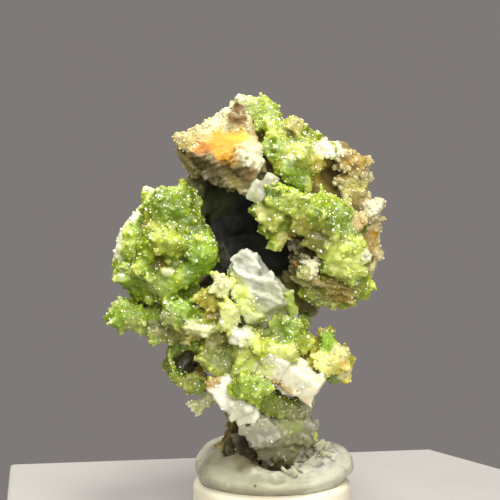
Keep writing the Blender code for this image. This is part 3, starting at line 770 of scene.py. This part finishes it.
waist = {
    "seed": 15, "lumps": (3.4, 0.9), "deep": "748418", "mid": "A2AE30", "bright": "C2C84A",
    "blocks": [
        ("flake", 230, 318, (3.4, 1.2, 4.2), (10, 12, 10), 0.4), ("box", 210, 303, (4, 2.4, 2), 40),
        ("box", 245, 338, (4, 3, 2.4), (10, 10, 0), 0.3), ("box", 222, 286, (3, 2.4, 3), 30),
        ("box", 212, 350, (3, 2.6, 5.4), 10), ("box", 228, 365, (3.6, 3, 4.2), 15),
        ("box", 250, 366, (5, 3, 3.4), 10), ("box", 282, 352, (4.6, 3, 3), (10, -10, 0)),
        ("box", 286, 328, (4.4, 3, 3.4), 10), ("box", 266, 332, (4.4, 2.6, 2.6), -10),
        ("box", 214, 318, (3.4, 2.6, 3.6), 25), ("box", 219, 369, (4, 2.6, 3.4), 10)],
    "press": [(225, 352, 1.8, -0.8), (270, 350, 4, 0.5)],
    "cuts": [(208, 306, 3.4, (0.7, 0, -0.7), 1.4, 0.7, 0.8)],
    "stains": [
        (230, 318, 2.2, "DCE090"), (221, 286, 2.2, "D8DAA0", 0.85), (208, 303, 2.4, "A89C30", 0.8),
        (214, 318, 1.8, "8E7C28", 0.7), (215, 340, 2.4, "8E8846", 0.8), (214, 355, 1.8, "7F8838", 0.7),
        (243, 339, 2.2, "E6E4D0"), (262, 352, 3.8, "C6D24C", 0.7), (285, 348, 2.6, "DCE27C", 0.85),
        (272, 362, 1.6, "E6E8B4", 0.8), (288, 330, 2.8, "7C9428", 0.85), (266, 331, 1.8, "8E9A44", 0.8),
        (229, 362, 2.2, "7C8640", 0.85), (244, 364, 1.8, "C6D660", 0.8), (262, 368, 1.4, "E4E4C4", 0.8),
        (238, 350, 1.8, "D2DA7A", 0.7)],
}
growDruse("waist", "pyromorphite_waist", waist)

rightArm = {
    "seed": 16, "deep": "A09C28", "mid": "D0C648", "bright": "E8D86A",
    "press": [(352, 340, 2.6, -1.6), (326, 340, 2.2, 0.5)],
    "stains": [
        (326, 342, 2, "8AB42C"), (342, 361, 0.8, "C48410", 0.95), (342, 352, 1.8, "DAD48C", 0.8),
        (318, 362, 2, "D8DB84", 0.8), (332, 386, 1.8, "5A7824"), (346, 374, 1.4, "DCD298", 0.8),
        (330, 366, 2, "D2CE74", 0.8)],
}
growDruse("rightArm", "pyromorphite_right_arm", rightArm)

stalkCrust = {
    "seed": 17,
    "blocks": [("box", 250, 386, (4.8, 3, 3.8), (10, 20, 0)), ("box", 244, 400, (3, 2.6, 3), 30)],
    "press": [(252, 388, 2.6, 0.4)],
    "stains": [
        (254, 388, 2.4, "8EA42E"), (262, 374, 1.8, "B0B85C", 0.8), (276, 404, 2.6, "667216"),
        (295, 408, 2.6, "62680E", 0.95), (300, 422, 2.6, "888A58", 0.8), (308, 400, 1.8, "C2C29A", 0.7),
        (305, 440, 2, "A09C7C", 0.8), (245, 402, 1.6, "A2AC70", 0.7), (321, 436, 2.2, "A8A482", 0.95),
        (316, 430, 1.4, "8C8E50")],
}
growDruse("stalkCrust", "pyromorphite_stalk_crust", stalkCrust)

for name, node, seed in (
        ("backCrust", "pyromorphite_back_crust", 18), ("backWaist", "pyromorphite_back_waist", 19)):
    growDruse(name, node, {"seed": seed, "swell": -0.12, "voxel": 0.22})
growDruse("nub", "pyromorphite_nub", {"seed": 20, "deep": "9CA060", "mid": "BCC084", "bright": "DCDDAE"})


# matrix rock

rock = {
    "coarse": 0.31, "seed": 31, "ior": 1.5,
    "blocks": [
        ("box", 186, 142, (2.4, 2.6, 2.4), (10, 20, 0)), ("box", 350, 162, (3.4, 3, 3), (0, 20, 20)),
        ("box", 349, 184, (2.8, 2.6, 3), (10, -15, 0)), ("box", 371, 212, (2.2, 2.4, 2.8), 30),
        ("box", 366, 238, (2.4, 2.6, 3.6), (0, 10, 10)),
        ("flake", 330, 149, (4.6, 3, 1.8), (10, 8, 0), 0.3), ("box", 310, 270, (2.6, 2.2, 3), (10, 10, 0)),
        ("box", 303, 278, (2, 1.8, 2.2), 40), ("box", 288, 239, (2.4, 2, 2), 25),
        ("box", 246, 163, (4.6, 3, 3.4), (10, 30, 10)), ("box", 291, 285, (3.4, 2.4, 4), 10),
        # the box at 246, 447 fills the cave, and the stains there paint it near black: painted shade
        ("box", 246, 447, (4.4, 3, 5.4), -15), ("box", 238, 183, (4.6, 2.6, 2), 24),
        ("box", 216, 178, (4.6, 2.6, 1.8), 24)],
    "press": [
        (213, 178, 1.6, -0.6), (232, 172, 1.6, -0.5), (222, 166, 1.4, -0.4), (330, 178, 3, -1.2),
        (370, 166, 3.6, -2.6), (352, 150, 2.8, -1.8), (209, 413, 4, -3.2), (211, 431, 4, -3.2),
        (380, 262, 3, -1.2), (176, 160, 2.2, -1.4)],
    "cuts": [(218, 174, 6.5, (-0.35, 0.2, 1), 0.9, 0.6, 0.8), (300, 250, 4, (0.5, 0, 1), 1, 0.8, 1.5)],
    # the brown is painted shade in the creases and the ridge colour a painted highlight on the ridges
    "cream": "BEB27C", "ochre": "8E7A40", "brown": "4C4420", "crumb": "6E602E", "ridge": "E8E0C0",
    "paleCrumb": "EAE8C8", "whiteCrumb": "F6F4DC", "broadSize": 6, "fineSize": 1.1, "stainEdge": 1.8,
    "crumbSize": 0.6, "pitSize": 0.35, "pitStrength": 0.8, "pitDepth": 0.16,
    "creamRange": (0.4, 0.6), "creaseRange": (-0.1, -0.9), "creaseShare": 0.7, "ridgeRange": (0.3, 1.2),
    "ridgeShare": 0.15, "crumbRange": (0.52, 0.42), "crumbShare": 0.35,
    "lumps": (3, 0.5), "waves": [(1.4, 0.5), (0.5, 0.3)],
    "stains": [
        (215, 121, 3.4, "C4C496", 1), (235, 114, 2.6, "C8C698", 1), (238, 127, 2.4, "B8AE7C"),
        (238, 115, 1.9, "6A4A12", 0.95), (224, 141, 3.6, "CC9020", 1), (236, 136, 2, "D0A430"),
        (205, 138, 1.4, "B49A5C", 0.8), (252, 148, 2.6, "BCB48A", 1), (258, 158, 3, "CCC69E", 1),
        (246, 164, 2.8, "DCD6B0", 1), (232, 167, 1.8, "B4AA74", 0.95), (225, 165, 2, "B4A468", 0.95),
        (207, 163, 2, "9C8448"), (196, 157, 1.8, "8A6824"), (214, 151, 2.6, "C48610", 0.95),
        (227, 154, 2.6, "CC9420", 0.95), (199, 148, 2.2, "A86608", 1), (247, 157, 0.5, "8E8A60", 0.8),
        # the dark olive-browns under the plate, here and at 190, 176, are partly the layered rock's colour and
        # partly painted shade under the overhang
        (241, 157, 0.4, "7C7C54", 0.8), (203, 172, 3.4, "463C10", 0.95), (220, 178, 3, "4A4012", 0.95),
        (240, 179, 2.6, "584A16", 0.95), (250, 173, 1.4, "705820", 0.8), (235, 187, 1.6, "7C7434"),
        (190, 176, 2.4, "4E4A1C"), (300, 308, 3.4, "5E6226", 0.95), (306, 284, 2.4, "8E8C3C"),
        (314, 288, 2, "7A7630"), (246, 372, 3.4, "8E9248"), (288, 278, 2.6, "56521E"),
        (186, 142, 1.9, "BCAA60"), (183, 151, 0.8, "2E2210", 0.95), (331, 149, 2.7, "DAD4BC", 1),
        (322, 178, 2.4, "B49C38", 1), (330, 182, 2.4, "96802E", 1), (335, 172, 1.4, "5E4412", 0.95),
        (352, 168, 3.2, "A88C34", 0.95), (346, 178, 1, "7C5A14"), (340, 166, 0.7, "6A4C10"),
        (346, 158, 0.6, "7C5A14"), (355, 166, 0.6, "8A6418", 0.8), (352, 175, 0.5, "7C5A14", 0.8),
        (348, 190, 1.9, "C4BE74"), (357, 186, 2.4, "B8AE60"), (372, 213, 2.8, "B8A874", 0.95),
        (373, 206, 1.6, "D8D2B0"), (360, 224, 1.8, "B09258"), (366, 240, 2.2, "A0803E"),
        # the dark browns at 300, 252 and 284, 262 are painted shade in the recess under the ledge
        (376, 234, 0.7, "B8860C", 0.95), (300, 252, 4.4, "4E440E", 1), (284, 262, 3.4, "34341A", 1),
        (292, 288, 3.4, "767224", 0.95), (282, 243, 1.5, "C8C074"), (292, 236, 0.6, "8C6814", 0.95),
        (310, 268, 2.2, "CFC8A0", 1), (302, 275, 1.8, "AAAE4C"), (297, 263, 0.6, "B88A2C"),
        (222, 416, 4.4, "A08E4A"), (228, 434, 1.8, "6C5C28"), (243, 430, 2.6, "4A3C18", 0.95),
        # the near-black browns at 246, 449 and 231, 452 are painted shade in the cave
        (246, 449, 3.6, "241A08", 0.98), (231, 452, 2, "2E240E", 0.95)],
    "shadows": [
        (245, 215, 9, "12150A", 1), (262, 262, 5.5, "171A0C", 1), (252, 240, 5, "12150A", 1),
        (211, 197, 4.2, "3E4620"), (268, 238, 2.2, "34341A"), (216, 284, 2.6, "26260F"),
        (222, 270, 3.2, "1A1C0C", 0.95)],
    "crags": [{
        "kind": "crag", "spacing": 1.5, "size": (0.7, 1.9), "lean": 1.2, "rare": 1.5, "tint": (0, 0),
        "at": [
            (228, 148, 6.4, 0), (326, 180, 3.6, 0), (222, 174, 6, 0.15), (245, 218, 9, 0), (262, 262, 6, 0),
            (246, 447, 3.6, 0)]}],
    "growths": [{
        "kind": "block", "spacing": 0.45, "size": (0.25, 0.7), "lean": 0.8, "tint": (0.2, 1), "all": 0.2,
        "at": [
            (352, 172, 3.6, 1), (302, 252, 3.4, 0.35), (298, 284, 3, 0.4), (334, 149, 2.6, 0.4),
            (374, 225, 3.6, 0.6), (309, 271, 2.6, 0.6), (224, 150, 6, 0), (215, 121, 3, 0.8),
            (232, 116, 2.6, 0.8), (326, 180, 3, 0), (186, 143, 2, 0.8), (245, 215, 9, 0),
            (262, 262, 5.5, 0), (252, 240, 5, 0)]}, {
        # white crumbs, partly painted glints
        "kind": "block", "spacing": 0.4, "size": (0.2, 0.55), "lean": 0.8, "tint": (2, 2), "all": 0,
        "at": [
            (210, 120, 3.6, 0.7), (228, 104, 2.6, 0.6), (240, 126, 1.6, 0.2), (226, 146, 5, 0),
            (186, 142, 2, 0.6), (256, 152, 2.6, 0.3), (374, 215, 3, 0.5), (331, 149, 2.6, 0.5),
            (310, 270, 2.2, 0.5), (348, 188, 2, 0.4), (237, 114, 1.7, 0)]}, {
        "kind": "block", "spacing": 0.8, "size": (0.5, 1.4), "lean": 0.9, "tint": (0.7, 1), "all": 0,
        "at": [(351, 166, 3.4, 0.9), (358, 180, 2, 0.6), (372, 212, 2.2, 0.4), (310, 268, 2, 0.4)]}],
}


def rockPaint(name, values):
    paint, tint, relief = stonePaint(name, values)
    broad = paint.grain(values["broadSize"], 3)
    fine = paint.grain(values["fineSize"], 4, 0.65)
    ragged = paint.grain(values["stainEdge"], 4, 0.6)
    crumbs = paint.between(paint.grain(values["crumbSize"], 4, 0.7), *values["crumbRange"])
    height = relief + (fine - 0.5) * 0.8
    # painted shade in the creases and a painted highlight on the ridges, both from the relief and fine noise
    creases = paint.between(height, *values["creaseRange"]) * values["creaseShare"]
    ridges = paint.between(height, *values["ridgeRange"]) * values["ridgeShare"]
    colour = paint.mix(values["ochre"], values["cream"], paint.between(broad, *values["creamRange"]))
    colour = paint.patches(colour, values["stains"], ragged)
    colour = paint.mix(colour, values["brown"], creases)
    colour = paint.mix(colour, values["ridge"], ridges)
    colour = paint.mix(colour, values["paleCrumb"], paint.between(tint, 0.6, 1.0) * 0.5)
    # the white crumbs are partly painted glints
    colour = paint.mix(colour, values["whiteCrumb"], paint.above(tint, 1.5) * 0.6)
    colour = paint.mix(colour, values["crumb"], crumbs * values["crumbShare"])
    colour = paint.patches(colour, values["shadows"], ragged)
    pits = paint.grain(values["pitSize"], 4, 0.7)
    return paint.finish(colour, 0.5 + 0.4 * fine, pits, values["pitStrength"], values["pitDepth"])


growStone("matrixRock", "matrix_rock", rockPaint, rock)


# milky quartz

quartz = {
    "coarse": 0.2, "swell": -0.2, "milk": "AEAE94", "shadow": "888A6A", "green": "B4C04C", "gold": "B49A60",
    "seed": 41, "frostWhite": "FFFFF2", "ior": 1.54, "glow": 0.6, "glowDepth": 1.4, "cloudSize": 2.2,
    "milkRange": (0.3, 0.5), "dullRange": (0.4, 0.7), "greenShare": 0.7, "stainEdge": 1.4,
    "pitSize": 0.4, "pitStrength": 0.6, "pitDepth": 0.12, "lumps": (2, 0.35), "waves": [(0.8, 0.2)],
    "soften": 2,
    "crag": {"kind": "crag", "lean": 0.8, "rare": 1.5, "tint": (0, 0)},
    "crust": {"kind": "grain", "spacing": 0.45, "size": (0.4, 0.9), "lean": 0.7, "tint": (1, 1), "all": 0},
    # white frost grains, partly painted glints
    "frost": {
        "kind": "block", "spacing": 0.55, "size": (0.2, 0.5), "lean": 0.8, "tint": (2, 2), "all": 0.01},
    "crumbs": {"kind": "block", "spacing": 0.45, "size": (0.3, 0.8), "lean": 0.8, "tint": (3, 3), "all": 0},
}

quartzPieces = {
    "quartzCentre": {
        "node": "quartz_centre", "milk": "BABCA8", "shadow": "989C84", "spacing": 4, "size": (0.6, 1.4),
        "blocks": [
            ("box", 247, 266, (3.4, 2.6, 4.4), (-20, -34, 0)),
            ("box", 260, 298, (6.6, 3, 5.6), (-20, -30, 0)),
            ("box", 288, 304, (1.6, 2.6, 4.2), (0, -12, 20), 0.3)],
        "cuts": [
            (258, 285, 14, (-0.3, 0, -0.95), 2.6, 0.55, 0.3),
            (258, 288, 12, (-0.35, 0, -0.94), 0.9, 0.2, 0.4)],
        "grown": {
            "crust": [(228, 290, 3, 1), (246, 302, 1.8, 0.7), (258, 324, 2.6, 0.4)],
            "frost": [(217, 303, 1, 1), (236, 278, 1.2, 1), (234, 299, 0.9, 1), (257, 301, 0.9, 1)]},
        "stains": [
            (290, 304, 2.4, "94A248", 1), (232, 290, 2.6, "E0E4A4", 0.8), (245, 305, 2, "C4D06C", 0.8),
            (262, 318, 3, "A4AE62", 0.85), (276, 298, 3.2, "9E9E80", 0.8), (242, 292, 1.2, "B8C84C", 0.8),
            (252, 327, 2, "8C9648", 0.85)]},
    "quartzWaistLeft": {
        "node": "quartz_waist_left", "milk": "E6E2CC", "shadow": "CCC8AC", "spacing": 1.2,
        "size": (0.4, 1.2),
        "blocks": [
            ("box", 230, 391, (4.8, 3, 5), -26, 0.3), ("box", 221, 386, (3, 2.6, 2.4), 10),
            ("box", 237, 402, (4.4, 2.8, 4), -30), ("box", 247, 413, (3.6, 2.4, 3), -20)],
        "grown": {
            "crust": [(218, 380, 1.4, 0.6)], "frost": [(228, 393, 3.4, 0.35)],
            "crumbs": [(210, 380, 1.4, 0.9)]},
        "stains": [
            (209, 380, 1.5, "C4A458", 0.85), (240, 404, 1.4, "B9BE98", 0.6), (218, 378, 0.8, "D0A860", 0.7),
            (238, 420, 2.6, "A9AA88", 0.6)]},
    "quartzWaistRight": {
        "node": "quartz_waist_right", "milk": "DAD6B8", "shadow": "C4C09C", "spacing": 2,
        "size": (0.5, 1.4),
        "blocks": [
            ("box", 290, 377, (9.4, 3.2, 4), (12, 33, 0), 0.2),
            ("box", 305, 382, (4.6, 3, 2.8), (10, 28, 0))],
        "cuts": [(290, 378, 8, (-1, 0, 0.6), 2.8, 0.35, 0.5)],
        "grown": {
            "crust": [(268, 368, 1.6, 0.7)], "frost": [(290, 372, 4, 0.4), (280, 387, 1.4, 0.5)],
            "crumbs": [(277, 384, 1, 0.8), (286, 389, 1, 0.7), (293, 393, 0.8, 0.5)]},
        "stains": [
            (281, 386, 0.8, "BC9838", 0.7), (275, 382, 0.7, "C8A850", 0.7), (288, 390, 0.7, "C4A450", 0.7),
            (306, 400, 0.8, "CCB478", 0.5), (265, 370, 1.6, "DCE08C", 0.8), (279, 384, 0.4, "7C5614")]},
    "quartzFoot": {
        "node": "quartz_foot", "soften": 0, "milk": "94907A", "shadow": "605C3E", "spacing": 0.8,
        "size": (0.4, 1.2),
        "blocks": [
            ("box", 262, 432, (4.4, 2.4, 4), (5, -30, 0)), ("box", 296, 430, (5, 2.6, 4), (5, 10, 0))],
        "grown": {"crust": [], "frost": [(262, 432, 2.6, 0.08), (284, 460, 0.5, 1)]},
        "stains": [
            (258, 430, 2.6, "8E8A74", 0.8), (284, 454, 2.8, "6A6644", 0.8), (268, 454, 2.2, "625E40", 0.8),
            (275, 470, 2.6, "3C3418", 0.95), (302, 442, 3, "74764A", 0.85), (262, 420, 2, "A9AA88", 0.7),
            (292, 420, 2.4, "949C54", 0.7)]},
    "quartzLedge": {
        "node": "quartz_ledge", "spacing": 4, "size": (0.4, 0.8),
        "blocks": [
            ("box", 266, 189, (2.1, 1.6, 4.4), 32, 0.3), ("box", 259, 193, (2.8, 1.5, 3.2), 32, 0.1)],
        "grown": {"crust": [(272, 182, 0.9, 0.6)], "frost": []},
        "stains": [(252, 196, 1.4, "AEB286", 0.7)]},
}


def quartzPaint(name, values):
    paint, tint, relief = stonePaint(name, values)
    cloudy = paint.grain(values["cloudSize"], 4, 0.6)
    milky = paint.between(cloudy + relief * 0.15, *values["milkRange"])
    colour = paint.mix(values["shadow"], values["milk"], milky)
    colour = paint.patches(colour, values["stains"], paint.grain(values["stainEdge"], 4, 0.6))
    colour = paint.mix(colour, values["green"], paint.above(tint, 0.5) * values["greenShare"])
    # the white frost is partly painted glints
    colour = paint.mix(colour, values["frostWhite"], paint.above(tint, 1.5))
    colour = paint.mix(colour, values["gold"], paint.above(tint, 2.5))
    paint.crystals(paint.between(tint, 0.1, 0.2), colour, values["ior"])
    dull = paint.between(cloudy, *values["dullRange"])
    pits = paint.grain(values["pitSize"], 4, 0.65)
    return paint.finish(colour, 0.25 + 0.3 * dull, pits, values["pitStrength"], values["pitDepth"])


for name, changes in quartzPieces.items():
    values = {**quartz, **changes}
    values["crags"] = [{**quartz["crag"], "spacing": values["spacing"], "size": values["size"]}]
    values["growths"] = [{**quartz[layer], "at": places} for layer, places in values["grown"].items()]
    growStone(name, values["node"], quartzPaint, values)


# putty and base

putty = {
    "voxel": 0.3, "light": "BAB8A4", "dark": "9A9884", "speck": "5C5444", "flake": "A9A684", "seed": 51,
    "ior": 1.45, "glow": 0.8, "glowDepth": 3, "cloudSize": 3, "stainEdge": 1.2, "speckSize": 0.6,
    "streakSize": 1.6, "streakStrength": 0.5, "streakDepth": 0.25, "streakTurn": (0, 0.6, 0.4),
    "streakStretch": (1, 1, 5),
    "lightRange": (0.5, 0.85), "speckRange": (0.76, 0.8), "speckShare": 0.4, "flakeShare": 0.8,
    "skirtRadius": 11.2, "skirtHeight": 1.8, "skirtSides": 96, "soften": 6,
    "waves": [(4, 0.3), (1.2, 0.12)],
    "press": [
        (222, 454, 5, 1.4), (240, 462, 3.4, 1.6), (255, 470, 2.6, 1), (302, 470, 3, 1.2),
        (322, 455, 3.6, 1.4), (276, 478, 1.8, -0.8)],
    "flakes": {
        "kind": "flake", "spacing": 0.6, "size": (0.8, 2.4), "lean": 0.9, "upright": True, "tint": (1, 1),
        "all": 0, "at": [(321, 450, 1.9, 1), (311, 457, 1.8, 1), (301, 464, 1.7, 1), (293, 470, 1.5, 0.7)]},
    "stains": [
        # the grey-browns at 225, 462 and 250, 462 are the specimen's painted cast shadow on the putty, and
        # those along py 487 are painted shade on its lower front
        (318, 452, 2.2, "A8A47C", 0.8), (302, 464, 2.2, "AAA584", 0.7), (225, 462, 5, "857E62", 0.7),
        (250, 462, 3, "6E6648", 0.8), (215, 478, 3.6, "9E9D86", 0.6), (244, 487, 3.6, "929078", 0.8),
        (266, 487, 3.6, "929078", 0.8), (288, 487, 3.2, "98967E", 0.8), (255, 486, 0.25, "4C463A"),
        (340, 484, 0.25, "4C463A")],
}


def puttyPaint(values, stains):
    paint = Paint("puttyPaint", IOR=values["ior"])
    paint.glowInside(values["glow"], values["glowDepth"])
    cloudy = paint.grain(values["cloudSize"], 3)
    smear = paint.node(
        "ShaderNodeMapping", None,
        {"Vector": paint.place, "Rotation": values["streakTurn"], "Scale": values["streakStretch"]})
    streaks = paint.node(
        "ShaderNodeTexNoise", None, {"Vector": smear, "Scale": 1 / (values["streakSize"] * mm), "Detail": 3})
    pale = paint.between(cloudy + streaks * 0.5, *values["lightRange"])
    specks = paint.between(paint.grain(values["speckSize"], 1), *values["speckRange"])
    flakes = paint.above(paint.attribute("tint"), 0.5)
    colour = paint.mix(values["dark"], values["light"], pale)
    colour = paint.patches(colour, stains, paint.grain(values["stainEdge"], 3))
    colour = paint.mix(colour, values["speck"], specks * values["speckShare"])
    colour = paint.mix(colour, values["flake"], flakes * values["flakeShare"])
    return paint.finish(
        colour, 0.3 + 0.3 * cloudy, streaks, values["streakStrength"], values["streakDepth"])


def makePutty(values):
    piece = copyNode("mounting_putty", "mountingPutty")
    # a low skirt closes the groove between the putty and the base
    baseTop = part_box("display_base")[1][2]
    bpy.ops.mesh.primitive_cylinder_add(
        vertices=values["skirtSides"], radius=values["skirtRadius"] * mm, depth=values["skirtHeight"] * mm,
        location=(0, 0, baseTop + values["skirtHeight"] / 2 * mm))
    skirt = bpy.context.object
    settle(skirt)
    pick(piece, skirt)
    bpy.ops.object.join()
    weldSkin(piece, values["voxel"])
    useModifier(piece, "SMOOTH", iterations=values["soften"])
    press(piece, values["press"])
    for size, height in values["waves"]:
        roughen(piece, size, height)
    stains = placePatches(piece, values["stains"])
    growCrystals(piece, [values["flakes"]], values["seed"])
    finishPiece(piece, puttyPaint(values, stains), "mounting_putty")


makePutty(putty)

base = {
    "radius": 11.95, "height": 5.98, "sides": 128, "shoulder": 1.05, "foot": 0.3, "smoothAngle": 40,
    "cream": "E2DAC0", "warmCream": "E2DABD", "warmShare": 0.4, "ior": 1.47, "cloudSize": 5,
    "pitSize": 1.2, "pitStrength": 0.04, "pitDepth": 0.1,
}


def roundEnd(piece, way, width, segments):
    # rounds the rim of the flat end, the upper one where way is 1 and the lower one where it is -1
    editing(True)
    bpy.ops.mesh.select_all(action="DESELECT")
    editing(False)
    for face in piece.data.polygons:
        face.select = face.normal.z * way > levelFace
    editing(True)
    bpy.ops.mesh.bevel(offset=width * mm, segments=segments)
    editing(False)


def makeBase(values):
    bpy.ops.mesh.primitive_cylinder_add(
        vertices=values["sides"], radius=values["radius"] * mm, depth=values["height"] * mm,
        location=(0, 0, values["height"] / 2 * mm))
    piece = bpy.context.object
    piece.name = "displayBase"
    settle(piece)
    roundEnd(piece, 1, values["shoulder"], 6)
    roundEnd(piece, -1, values["foot"], 3)
    pick(piece)
    bpy.ops.object.shade_smooth_by_angle(angle=math.radians(values["smoothAngle"]))
    paint = Paint("creamPlastic", IOR=values["ior"])
    soft = paint.grain(values["cloudSize"], 2)
    colour = paint.mix(values["cream"], values["warmCream"], soft * values["warmShare"])
    pits = paint.grain(values["pitSize"], 2)
    paint.finish(colour, 0.25 + 0.15 * soft, pits, values["pitStrength"], values["pitDepth"])
    finishPiece(piece, paint, "display_base")


makeBase(base)


# floor and light

stand = {
    "frontLeft": (-36, -60), "frontRight": (72, -14), "backLeft": (-43.5, 35.2), "backRight": (27.7, 46.6),
    "height": 30, "edge": 0.6, "light": "AEABA6", "dark": "A29F9A", "cloudSize": 30,
}


def makeFloor(values):
    # a pale display block, its back edges where the photograph has them
    bpy.ops.mesh.primitive_cube_add(size=2)
    floor = bpy.context.object
    floor.name = "floor"
    for corner in floor.data.vertices:
        row = "back" if corner.co.y > 0 else "front"
        x, y = values[row + ("Right" if corner.co.x > 0 else "Left")]
        corner.co = (x * mm, y * mm, 0 if corner.co.z > 0 else -values["height"] * mm)
    useModifier(floor, "BEVEL", width=values["edge"] * mm, segments=2)
    paint = Paint("floorPaint", Roughness=0.5)
    paint.use("Base Color", paint.mix(values["light"], values["dark"], paint.grain(values["cloudSize"], 2)))
    floor.data.materials.append(paint.material)
    print("floor set")


makeFloor(stand)

# where each light stands and its size in metres, its power in watts and its colour
lights = {
    "key": {"from": (0.04, -0.12, 0.37), "size": 0.12, "power": 1.3, "colour": (1, 0.98, 0.94)},
    "rim": {"from": (-0.16, 0.06, 0.34), "size": 0.06, "power": 1.0, "colour": (1, 0.99, 0.97)},
    "fill": {"from": (0.06, -0.36, 0.19), "size": 0.25, "power": 1.9, "colour": (1, 1, 1)},
}
studio = {"aim": (0, 0, 0.04), "background": "7F7A77"}


def makeLights(values, surroundings):
    for name, light in values.items():
        bpy.ops.object.light_add(type="AREA", location=light["from"])
        lamp = bpy.context.object
        lamp.name = name + "Light"
        lamp.data.size = light["size"]
        lamp.data.energy = light["power"]
        lamp.data.color = light["colour"]
        aim = Vector(surroundings["aim"]) - lamp.location
        lamp.rotation_euler = aim.to_track_quat("-Z", "Y").to_euler()
    bpy.context.scene.view_settings.view_transform = "Standard"
    world = bpy.data.worlds.new("studio")
    bpy.context.scene.world = world
    world.use_nodes = True
    world.node_tree.nodes["Background"].inputs["Color"].default_value = shade(surroundings["background"])
    print(len(values), "lights set")


makeLights(lights, studio)
